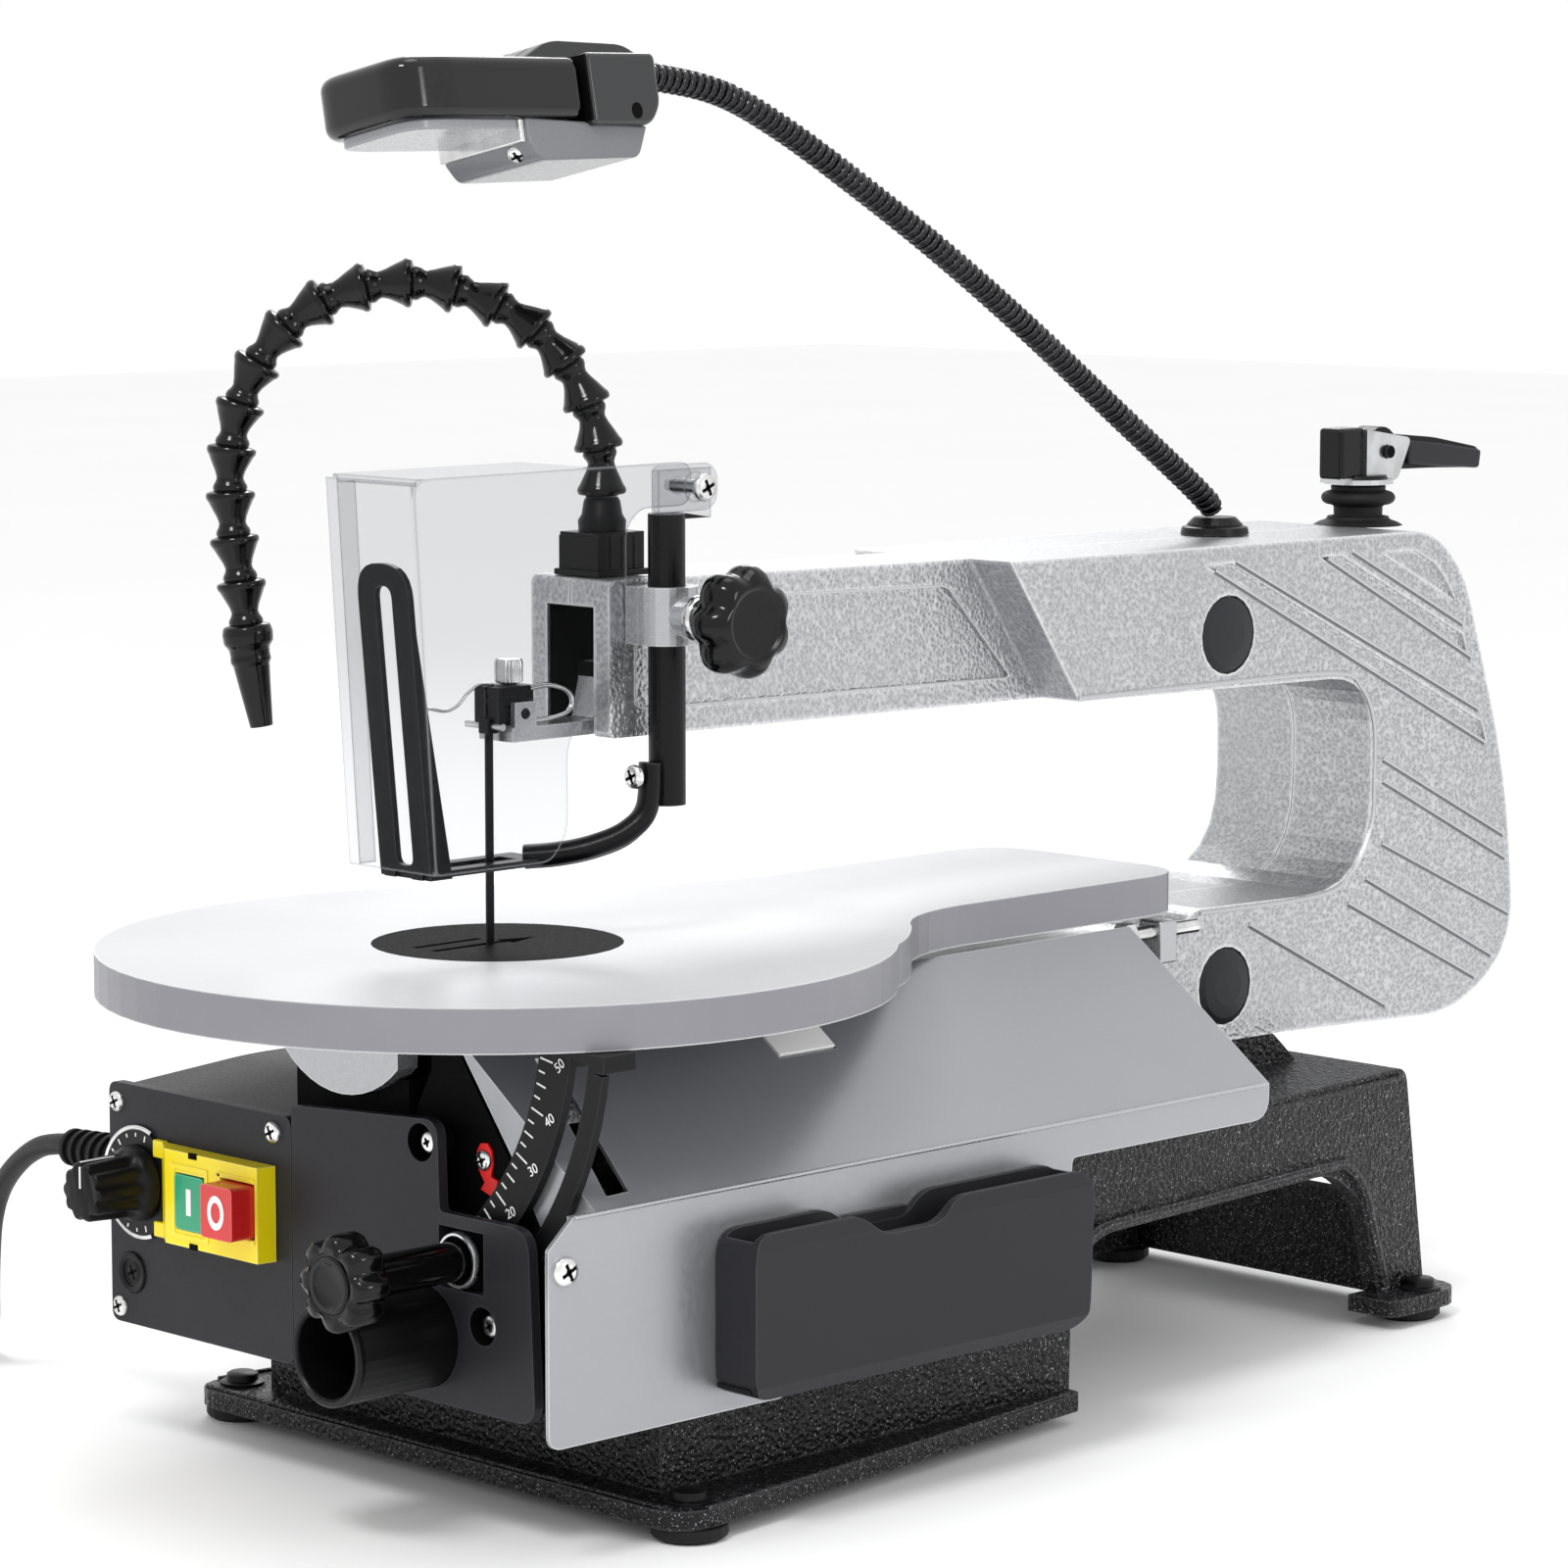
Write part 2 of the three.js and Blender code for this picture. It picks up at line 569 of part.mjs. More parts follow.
function switchHousing() {
  const back = FRONT_Y - GAP;
  const flared = prism(
    'z', outline([-81, back], [-81, -69.4], [-72.4, -75], [-26, -75], [-25, back]), 73, 103.6,
  );
  const windowOn = box(-67, -52, -80, -60, 78.4, 96.8);
  const windowOff = box(-43.4, -27.2, -80, -60, 80.4, 98.2);
  return cut(flared, windowOn, windowOff);
}

const switchButton = (x0, x1, z0, z1, y0, y1) => prism('y', rectangle(x0, x1, z0, z1, 1.5), y0, y1, 3);

function speedDial() {
  const ring = lathe(
    'y', -93.5, 88.7, [[0, -69.6], [17.2, -69.6], [17.6, FRONT_Y - GAP], [0, FRONT_Y - GAP]], 30,
  );
  return cut(ring, rod('y', -93.5, 88.7, -80, -60, 5, 14), box(-81.5, -60, -80, -60, 60, 120));
}

function speedKnob() {
  const grip = lathe('y', -93.5, 88.7, [[0, -92], [8.4, -92], [9.6, -90.5], [10.6, -71], [0, -71]], 24);
  const flutes = [];
  const FLUTES = 10;
  for (let i = 0; i < FLUTES; i += 1) {
    const angle = (i * 2 * Math.PI) / FLUTES;
    flutes.push(rod('y', -93.5 + 11.4 * Math.cos(angle), 88.7 + 11.4 * Math.sin(angle), -95, -72.5, 1.8, 8));
  }
  return join(cut(grip, ...flutes), rod('y', -93.5, 88.7, -72, -60, 3, 12));
}

function dustPort() {
  const outer = rod('y', DUST_X, DUST_Z, -106, -62, 16, 32);
  const collar = rod('y', DUST_X, DUST_Z, -64.2, -62, 18.6, 32);
  return cut(join(outer, collar), rod('y', DUST_X, DUST_Z, -110, -50, 13.6, 32));
}

function sidePanel() {
  const THICK = 1.4;
  const section = outline(
    [PANEL_X, 38], [PANEL_X, 107], [48.5, 153.6],
    [48.5 - THICK, 152], [PANEL_X - THICK, 106.2], [PANEL_X - THICK, 38],
  );
  const sheet = prism('y', section, -77, 250);
  const keep = rounded([
    [-77, 38, 5], [20, 38, 2], [40, 50, 2], [148, 50, 2], [152, 95, 2], [250, 95, 8], [250, 160, 0],
    [PANEL_FLANGE_Y, 160, 0], [PANEL_FLANGE_Y, 107.2, 0], [-67, 107.2, 0], [-77, 98.5, 1],
  ]);
  const flangeShape = outline([49, 152], [111.2, 106.6], [111.2, 98], [88, 98], [74.5, 119]);
  const flange = prism('y', flangeShape, PANEL_FLANGE_Y, PANEL_FLANGE_Y + THICK);
  const slantedSlot = prism('z', outline([61, -36], [60.8, -29.8], [107.2, -40], [107.4, -49.4]), 100, 160);
  const clipHole = box(62, 74, 56, 82, 120, 160);
  return join(cut(sheet.intersect(prism('x', keep, 0, 130)), slantedSlot, clipHole), flange);
}

function toolbox() {
  const face = rounded([
    [-9, 43.5, 9], [141, 43.5, 9], [143, 95, 9], [80, 95, 6], [72, 88, 10], [46, 88, 10],
    [38, 95, 6], [-9, 95, 9],
  ]);
  const outer = prism('x', face, PANEL_X + GAP, 130, 5);
  const bevel = prism(
    'y', outline([131, 40], [131, 100], [126.5, 100], [130, 90], [130, 48], [127, 43]), -20, 160,
  );
  const inner = rounded([[-6.5, 46, 6], [138.5, 46, 6], [140, 100, 0], [-6.5, 100, 0]], 6);
  return cut(outer, bevel, prism('x', inner, PANEL_X + GAP + 2.2, 126.4, 4));
}

// ---------- hold-down, guard, blower and lamp ----------
function clampBand() {
  const band = join(
    rod('z', ROD_X, ROD_Y, 263.5, 282, 10, 28), box(NOSE_HALF + GAP, ROD_X, 41.5, 60, 263.5, 282),
  );
  const boss = rod('x', ROD_Y, 272.5, ROD_X + 7, ROD_X + 15, 6.5, 20);
  return cut(
    join(band, boss),
    rod('z', ROD_X, ROD_Y, 200, 300, ROD_RADIUS + GAP, 28),
    rod('x', ROD_Y, 272.5, ROD_X, 60, 3.3, 14),
    box(0, NOSE_HALF + GAP, 30, 70, 250, 290),
  );
}

function starKnob() {
  const centreZ = 272.5;
  const LOBES = 6;
  const disc = lathe('x', ROD_Y, centreZ, [[0, 53], [12, 53], [17.6, 57], [17.6, 66], [14, 70],
  [0, 71]], 36);
  const bites = [];
  for (let i = 0; i < LOBES; i += 1) {
    const angle = ((i + 0.5) * 2 * Math.PI) / LOBES;
    bites.push(rod('x', ROD_Y + 22.5 * Math.cos(angle), centreZ + 22.5 * Math.sin(angle), 50, 75, 8, 14));
  }
  return join(
    cut(disc, ...bites), rod('x', ROD_Y, centreZ, 36, 54, 3, 14),
    rod('x', ROD_Y, centreZ, 44, 54, 6, 16),
  );
}

function holdDownRod() {
  const tubeBody = rod('z', ROD_X, ROD_Y, 212, 305, ROD_RADIUS, 28);
  const tab = box(ROD_X - 1.6, ROD_X + 1.6, 46, 69, 303, 319);
  const bore = rod('z', ROD_X, ROD_Y, 205, 296, 4.2, 20);
  const screw = join(rod('x', 62, 313, 17.4, 33, 1.9, 12), rod('x', 62, 313, ROD_X, 33.5, 4.6, 16));
  return join(cut(tubeBody, bore), tab, screw);
}

function dropFoot() {
  const lean = (z) => -35 - (z - 196) * 0.095;
  const sheet = outline([lean(194), 194], [lean(194) + 2.2, 194], [lean(294) + 2.2, 294], [lean(294), 294]);
  const loopFront = rounded([[-12, 193, 2], [12, 193, 2], [12, 293, 11], [-12, 293, 11]]);
  const loopSlot = rounded([[-4, 198, 3], [4, 198, 3], [4, 286, 4], [-4, 286, 4]]);
  const loop = prism('x', sheet, -12, 12).intersect(prism('y', loopFront, -60, -20, 6));
  const flange = prism(
    'x', outline([lean(196), 194], [lean(196) + 9, 194], [lean(285) + 1, 285], [lean(285), 285]), 10, 12,
  );
  const tine = (x0) => box(x0, x0 + 5, -36, 14, 194, 196.2);
  const bridge = box(-9, 9, 8, 17, 194, 196.2);
  const arm = tube(
    [[2, 13, 195.6], [10, 20, 196.6], [18, 28, 199], [25, 36, 203.5], [28, 42, 211], [28, 44, 226]], 3.4,
    8, 22,
  );
  return join(cut(loop, prism('y', loopSlot, -70, -10, 6)), flange, tine(-9), tine(4), bridge, arm)
    .subtract(rod('z', ROD_X, ROD_Y, 200, 240, ROD_RADIUS + GAP, 28));
}

function bladeGuard() {
  const FRONT = -49;
  const side = rounded([
    [FRONT + 8, 197, 2], [7, 197, 4], [14, 206, 5], [14, 234, 6], [20, 241, 5], [34, 244, 6],
    [38, 252, 4], [39.5, 264, 3],
    [39.5, 301, 4], [46, 306.4, 3], [68, 306.4, 6], [68, 320.5, 5], [FRONT, 320, 6],
  ]);
  const sidePlate = prism('x', side, 19.4, 21.6, 4);
  const front = prism(
    'x', outline([FRONT + 8, 197], [FRONT + 10.2, 197], [FRONT + 2.4, 319], [FRONT, 319]), -20, 20.5,
  );
  const top = box(-20, 20.5, FRONT + 3, 31, 317.6, 320);
  const leftEdge = prism(
    'x', outline([FRONT + 8, 197], [FRONT + 17, 197], [FRONT + 10, 319], [FRONT, 319]), -20, -17.8,
  );
  return cut(join(sidePlate, front, top, leftEdge), rod('x', 62, 313, 0, 60, 2.4, 12));
}

function hoseBase() {
  return join(box(-9, 9, 39, 59, 284.2, 298), rod('z', 0, HOSE_Y, 297, 309, 5.2, 18));
}

// The blower hose bends in one upright plane, turned this far from the row's -X direction.
const HOSE_TURN = THREE.MathUtils.degToRad(45.4);
const hosePoint = (reach, z) => [-reach * Math.cos(HOSE_TURN), HOSE_Y - reach * Math.sin(HOSE_TURN), z];

function airHose() {
  const path = [
    [0, 309.3], [0.5, 322], [4, 337], [11, 351], [22, 363], [36, 371.5], [52, 376.5], [68, 377],
    [84, 373.5], [98, 365.5],
    [109, 353], [116, 337], [119, 319], [118.5, 300], [116, 281], [114.5, 268],
  ].map(([reach, z]) => hosePoint(reach, z));
  return tube(path, 6.6, 10, 28);
}

function hoseNozzle() {
  const path = [[114.4, 267.4], [113, 255], [110, 235]].map(([reach, z]) => hosePoint(reach, z));
  const steps = path.length - 1;
  const section = new THREE.Shape();
  section.absarc(0, 0, 6, 0, Math.PI * 2, false);
  const curve = new THREE.CatmullRomCurve3(path.map(([x, y, z]) => vec(x, y, z)));
  return solid(
    new THREE.ExtrudeGeometry(
      section, { steps: steps * 3, extrudePath: curve, bevelEnabled: false, curveSegments: 5 },
    ),
  );
}

function neckSocket() {
  return lathe('z', 0, LAMP_Y, [[0, 281.2], [10, 281.2], [10, 284.5], [7.5, 287], [0, 287]], 22);
}

function lampNeck() {
  const path = [
    [347.5, 290.6], [334, 300.5], [296, 326], [252, 355.5], [209, 382.5], [168, 406], [128, 427],
    [98, 438.5], [62, 443.5],
  ].map(([y, z]) => [0, y, z]);
  return tube(path, 4.3, 10, 26);
}

function lampHead() {
  const slab = prism(
    'x', rounded([[-63.5, 427.5, 8], [63, 427.5, 5], [63, 448, 5], [-63.5, 448, 8]]), -24, 24, 5,
  );
  const hump = prism(
    'x', rounded([[10, 446, 1], [66, 446, 4], [66, 454.5, 6], [26, 454.5, 12]], 4), -12, 12, 5,
  );
  const rearPlate = prism(
    'x', rounded([[-2, 415, 3], [46, 415, 3], [46, 428, 0], [-2, 428, 0]], 1), -20, 20, 3,
  );
  const neckSlot = box(-5, 5, 54, 80, 431, 452.5);
  return cut(join(slab, hump, rearPlate), neckSlot, box(-20, 20, -58, -4, 420, 428.4));
}

function lampLens() {
  return prism(
    'x', rounded([[-57, 422.4, 4], [-5, 422.4, 4], [-5, 428, 0], [-57, 428, 0]], 1), -19.5, 19.5, 4,
  );
}

// ---------- power cord ----------
function cordGland() {
  return lathe(
    'x', CORD_Y, CORD_Z, [[0, -145], [4.6, -145], [6.2, -116], [7.5, -115], [7.5, -110.3], [0, -110.3]],
    16,
  );
}

const CORD_LEAD = [
  [-145.4, CORD_Y, CORD_Z], [-150, CORD_Y, CORD_Z], [-161, CORD_Y, 89.5], [-173, -57.5, 83],
  [-185, -56, 73], [-195, -53, 60],
  [-204, -48, 45], [-213, -42, 30], [-223, -35, 17], [-235, -28, 8], [-248, -23.5, 4.2], [-258, -21.6, 3.7],
  [-268, -21.2, 3.7],
];
const CORD_TAIL = [[-262, -128, 3.7], [-256, -128, 4], [-250, -128, 5.6], [-244.8, -128, 6.2]];

function cordCoil() {
  const half = 11.4;
  const top = 4 * CORD_RADIUS;
  const profile = [
    [COIL_RADIUS - half, 0.1], [COIL_RADIUS + half, 0.1], [COIL_RADIUS + half, top],
    [COIL_RADIUS - half, top],
    [COIL_RADIUS - half, 0.1],
  ];
  return lathe('z', COIL_X, COIL_Y, profile, 40);
}

function mainsPlug() {
  const shape = rounded(
    [[-243.6, -133, 2], [-234, -138.5], [-208, -139, 5], [-208, -117, 5], [-234, -117.5],
    [-243.6, -123, 2]],
    3,
  );
  const prong = (y) => rod('x', y, 7, -209, -190, 2.4, 12);
  return join(prism('z', shape, 0.1, 14, 4), prong(-134), prong(-122));
}

// ---------- assembly ----------
piece('base_casting', baseCasting(), castBlack);
for (const [end, [x, y]] of [['front', FRONT_FEET], ['rear', REAR_FEET]]) {
  piece(`foot_${end}_left`, rubberFoot(-x, y), rubber);
  piece(`foot_${end}_right`, rubberFoot(x, y), rubber);
}
for (const [name, sign] of [['left', -1], ['right', 1]]) {
  piece(`frame_half_${name}`, housingHalf(sign), silver);
  piece(`pivot_cap_upper_${name}`, pivotCap(sign, UPPER_PIVOT_Z), blackPlastic);
  piece(`pivot_cap_lower_${name}`, pivotCap(sign, LOWER_PIVOT_Z), blackPlastic);
}
piece('pivot_pin_upper', rod('x', PIVOT_Y, UPPER_PIVOT_Z, -33.5, 33.5, PIN_RADIUS, 20), steel);
piece('pivot_pin_lower', rod('x', PIVOT_Y, LOWER_PIVOT_Z, -33.5, 33.5, PIN_RADIUS, 20), steel);
piece('upper_rocker_arm', upperArm(), steel);
piece('lower_rocker_arm', lowerArm(), steel);
piece('blade', blade(), blackSteel);
piece('blade_clamp_upper', upperClamp(), blackSteel);
piece('blade_clamp_lower', lowerClamp(), blackSteel);
piece('thumb_screw_upper', thumbScrew(251.5 + GAP, 260), steel);
piece('thumb_screw_lower', thumbScrew(97, 106 - GAP), steel);
piece('con_rod', conRod(), steel);
piece('drive_crank', driveCrank(), steel);
piece('motor_can', motorCan(), steel);
piece('tension_rod', tensionRod(), steel);
piece('tension_knob', tensionKnob(), blackPlastic);
piece('cam_lever', camLever(), blackPlastic);
piece('table', table(), plate);
piece('table_insert', tableInsert(), blackPlastic);
piece('trunnion_front', trunnion(-62, -54), silver);
piece('trunnion_seat', trunnionSeat(), castBlack);
piece('tilt_scale', tiltScale(), blackSteel);
piece('lock_knob', lockKnob(), blackPlastic);
piece('control_panel', controlPanel(), blackPlastic);
piece('front_cover', frontCover(), blackPlastic);
piece('motor_cover', motorCover(), blackPlastic);
piece('switch_housing', switchHousing(), yellow);
piece('button_on', switchButton(-66.6, -52.4, 78.8, 96.4, -75.6, -62), green);
piece('button_off', switchButton(-43, -27.6, 80.8, 97.8, -84, -62), red);
piece('speed_dial', speedDial(), steel);
piece('speed_knob', speedKnob(), blackPlastic);
piece('dust_port', dustPort(), blackPlastic);
piece('side_panel', sidePanel(), plate);
piece('toolbox', toolbox(), blackPlastic);
piece('clamp_band', clampBand(), steel);
piece('star_knob', starKnob(), glossBlack);
piece('hold_down_rod', holdDownRod(), blackSteel);
piece('drop_foot', dropFoot(), blackSteel);
piece('blade_guard', bladeGuard(), clear);
piece('hose_base', hoseBase(), blackPlastic);
piece('air_hose', airHose(), glossBlack);
piece('hose_nozzle', hoseNozzle(), glossBlack);
piece('neck_socket', neckSocket(), blackPlastic);
piece('lamp_neck', lampNeck(), glossBlack);
piece('lamp_head', lampHead(), glossBlack);
piece('lamp_lens', lampLens(), clear);
piece('cord_gland', cordGland(), rubber);
piece('cord_lead', tube(CORD_LEAD, CORD_RADIUS, 8, 26), rubber);
piece('cord_coil', cordCoil(), rubber);
piece('cord_tail', tube(CORD_TAIL, CORD_RADIUS, 8, 6), rubber);
piece('mains_plug', mainsPlug(), rubber);

export default saw;
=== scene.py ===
"""Looks of the scroll saw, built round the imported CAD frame. Metres, +Z up."""
from math import cos, pi, radians, sin, sqrt

import bpy
import bmesh
from mathutils import Matrix, Vector


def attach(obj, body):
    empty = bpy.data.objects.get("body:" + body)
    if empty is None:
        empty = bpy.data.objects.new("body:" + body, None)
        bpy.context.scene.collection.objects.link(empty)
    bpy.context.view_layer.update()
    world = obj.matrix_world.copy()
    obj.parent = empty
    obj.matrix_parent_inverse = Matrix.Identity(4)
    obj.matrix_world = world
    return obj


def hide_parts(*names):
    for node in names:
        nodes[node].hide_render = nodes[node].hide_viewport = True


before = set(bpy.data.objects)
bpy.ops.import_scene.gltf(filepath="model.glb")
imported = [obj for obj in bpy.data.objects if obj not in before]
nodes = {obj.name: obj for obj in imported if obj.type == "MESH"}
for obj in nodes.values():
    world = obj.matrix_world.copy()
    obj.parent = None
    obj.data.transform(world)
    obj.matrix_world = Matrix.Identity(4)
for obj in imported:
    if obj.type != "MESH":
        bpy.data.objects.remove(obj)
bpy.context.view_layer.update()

# Every size below is in millimetres from the blade line and the bench, as in the CAD source.
SHIFT = Vector((-1.3, -185.8, 0.0))
MM = 0.001


def pt(x, y, z):
    return (Vector((x, y, z)) + SHIFT) * MM


# ---------- camera
camera_data = bpy.data.cameras.new("camera")
camera_data.lens = 122.6
camera_data.sensor_width = 36.0
camera_data.clip_start = 0.05
camera = bpy.data.objects.new("camera", camera_data)
bpy.context.scene.collection.objects.link(camera)
HEADING, PITCH = radians(45.39), radians(7.10)
look = Vector((-sin(HEADING) * cos(PITCH), cos(HEADING) * cos(PITCH), -sin(PITCH)))
camera.location = pt(1258.5, -1110.5, 429.2)
camera.rotation_mode = "QUATERNION"
camera.rotation_quaternion = look.to_track_quat("-Z", "Y")
bpy.context.scene.camera = camera


# ---------- mesh helpers
def link(mesh, name, body, material, smooth=40.0, bevel=0.0, segments=2):
    """A named piece that rides a body. smooth is the sharp edge angle in degrees, and 0 leaves it flat."""
    obj = bpy.data.objects.new(name, mesh)
    bpy.context.scene.collection.objects.link(obj)
    mesh.materials.clear()
    mesh.materials.append(material)
    for polygon in mesh.polygons:
        polygon.use_smooth = smooth > 0
    if bevel:
        add_bevel(obj, bevel, segments)
    if smooth:
        mesh.set_sharp_from_angle(angle=radians(smooth))
    if body:
        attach(obj, body)
    return obj


def add_bevel(obj, width, segments, angle=30.0):
    bevel = obj.modifiers.new("bevel", "BEVEL")
    bevel.width = width * MM
    bevel.segments = segments
    bevel.limit_method = "ANGLE"
    bevel.angle_limit = radians(angle)
    bevel.harden_normals = True
    bevel.use_clamp_overlap = True


def mesh_from(vertices, faces):
    mesh = bpy.data.meshes.new("mesh")
    mesh.from_pydata([tuple(v) for v in vertices], [], faces)
    work = bmesh.new()
    work.from_mesh(mesh)
    bmesh.ops.recalc_face_normals(work, faces=work.faces)
    work.to_mesh(mesh)
    work.free()
    return mesh


def merge(meshes):
    work = bmesh.new()
    for mesh in meshes:
        work.from_mesh(mesh)
    merged = bpy.data.meshes.new("mesh")
    work.to_mesh(merged)
    work.free()
    return merged


AXES = {"x": Vector((1, 0, 0)), "y": Vector((0, 1, 0)), "z": Vector((0, 0, 1))}
ORDER = {"x": lambda a, b, c: (c, a, b), "y": lambda a, b, c: (a, c, b), "z": lambda a, b, c: (a, b, c)}
SQUARE = ((-1, -1), (1, -1), (1, 1), (-1, 1))
# The faces of a box whose corners are a square and then the square across from it.
BOX_FACES = [(0, 1, 2, 3), (7, 6, 5, 4), (0, 4, 5, 1), (1, 5, 6, 2), (2, 6, 7, 3), (3, 7, 4, 0)]


def frame_of(direction):
    """Two unit vectors square to a direction."""
    direction = Vector(direction).normalized()
    other = Vector((0, 0, 1)) if abs(direction.z) < 0.9 else Vector((1, 0, 0))
    first = direction.cross(other).normalized()
    return first, direction.cross(first).normalized()


def round_point(centre, first, second, radius, angle):
    return centre + first * radius * cos(angle) + second * radius * sin(angle)


def lathe(origin, direction, profile, sides):
    """A body of revolution: profile rows are (radius, distance along direction), in millimetres."""
    direction = (AXES[direction] if isinstance(direction, str) else Vector(direction)).normalized()
    first, second = frame_of(direction)
    origin = Vector(origin)
    vertices, rings = [], []
    for radius, along in profile:
        centre = origin + direction * along
        if radius < 1e-6:
            rings.append([len(vertices)])
            vertices.append(pt(*centre))
            continue
        ring = []
        for i in range(sides):
            angle = 2 * pi * i / sides
            ring.append(len(vertices))
            vertices.append(pt(*round_point(centre, first, second, radius, angle)))
        rings.append(ring)
    faces = []
    for low, high in zip(rings, rings[1:]):
        for i in range(sides):
            j = (i + 1) % sides
            if len(low) == 1 and len(high) == 1:
                continue
            if len(low) == 1:
                faces.append((low[0], high[i], high[j]))
            elif len(high) == 1:
                faces.append((low[i], low[j], high[0]))
            else:
                faces.append((low[i], low[j], high[j], high[i]))
    return mesh_from(vertices, faces)


def rod(origin, direction, low, high, radius, sides):
    return lathe(origin, direction, [(0, low), (radius, low), (radius, high), (0, high)], sides)


def block(x0, x1, y0, y1, z0, z1):
    vertices = [pt(x, y, z) for x in (x0, x1) for y in (y0, y1) for z in (z0, z1)]
    faces = [(0, 1, 3, 2), (4, 6, 7, 5), (0, 4, 5, 1), (2, 3, 7, 6), (0, 2, 6, 4), (1, 5, 7, 3)]
    return mesh_from(vertices, faces)


def prism(axis, points, low, high):
    """points are (y, z) for x, (x, z) for y, (x, y) for z."""
    n = len(points)
    vertices = [pt(*ORDER[axis](a, b, level)) for level in (low, high) for a, b in points]
    faces = [tuple(range(n)), tuple(range(2 * n - 1, n - 1, -1))]
    faces += [(i, (i + 1) % n, n + (i + 1) % n, n + i) for i in range(n)]
    return mesh_from(vertices, faces)


def rounded(points, radius=3.0, steps=6):
    """Corner points with each corner turned into a curve; a third value is the corner's own radius."""
    out = []
    n = len(points)
    for i, corner in enumerate(points):
        own = corner[2] if len(corner) > 2 else radius
        here = Vector(corner[:2])
        before = Vector(points[i - 1][:2]) - here
        after = Vector(points[(i + 1) % n][:2]) - here
        reach = min(own, before.length * 0.49, after.length * 0.49)
        if reach <= 0.01:
            out.append(tuple(here))
            continue
        a = here + before.normalized() * reach
        b = here + after.normalized() * reach
        for k in range(steps + 1):
            t = k / steps
            out.append(tuple(a * (1 - t) ** 2 + here * 2 * t * (1 - t) + b * t * t))
    return out


def line_length(line):
    return sum((b - a).length for a, b in zip(line, line[1:]))


def smooth_path(points, steps):
    """A Catmull-Rom line through the points, evenly spaced."""
    knots = [Vector(p) for p in points]
    knots = [knots[0] * 2 - knots[1]] + knots + [knots[-1] * 2 - knots[-2]]
    fine = []
    for i in range(1, len(knots) - 2):
        a, b, c, d = knots[i - 1:i + 3]
        for k in range(24):
            t = k / 24
            fine.append(0.5 * ((2 * b) + (c - a) * t + (2 * a - 5 * b + 4 * c - d) * t * t
                               + (3 * b - a - 3 * c + d) * t ** 3))
    fine.append(knots[-2])
    lengths = [0.0]
    for p, q in zip(fine, fine[1:]):
        lengths.append(lengths[-1] + (q - p).length)
    out, j = [], 0
    for i in range(steps + 1):
        target = lengths[-1] * i / steps
        while j < len(fine) - 2 and lengths[j + 1] < target:
            j += 1
        span = max(lengths[j + 1] - lengths[j], 1e-9)
        out.append(fine[j].lerp(fine[j + 1], (target - lengths[j]) / span))
    return out


def tube(path, radius, sides):
    """radius is a number, or a function of (distance along, angle)."""
    vertices, faces = [], []
    previous = None
    travelled = 0.0
    for i, point in enumerate(path):
        ahead = path[min(i + 1, len(path) - 1)] - path[max(i - 1, 0)]
        ahead.normalize()
        if previous is None:
            first, _ = frame_of(ahead)
        else:
            first = (previous - ahead * previous.dot(ahead)).normalized()
        previous = first
        second = ahead.cross(first)
        if i:
            travelled += (point - path[i - 1]).length
        for k in range(sides):
            angle = 2 * pi * k / sides
            r = radius(travelled, angle) if callable(radius) else radius
            vertices.append(pt(*round_point(point, first, second, r, angle)))
    for i in range(len(path) - 1):
        for k in range(sides):
            j = (k + 1) % sides
            faces.append((i * sides + k, i * sides + j, (i + 1) * sides + j, (i + 1) * sides + k))
    faces.append(tuple(range(sides)))
    faces.append(tuple(range(len(vertices) - sides, len(vertices))))
    return mesh_from(vertices, faces)


# ---------- materials
def srgb(value):
    value = value.lstrip("#")
    channels = [int(value[i:i + 2], 16) / 255 for i in (0, 2, 4)]
    return [c / 12.92 if c <= 0.04045 else ((c + 0.055) / 1.055) ** 2.4 for c in channels] + [1.0]


def darker(colour, share):
    return [c * share for c in srgb(colour)[:3]] + [1.0]


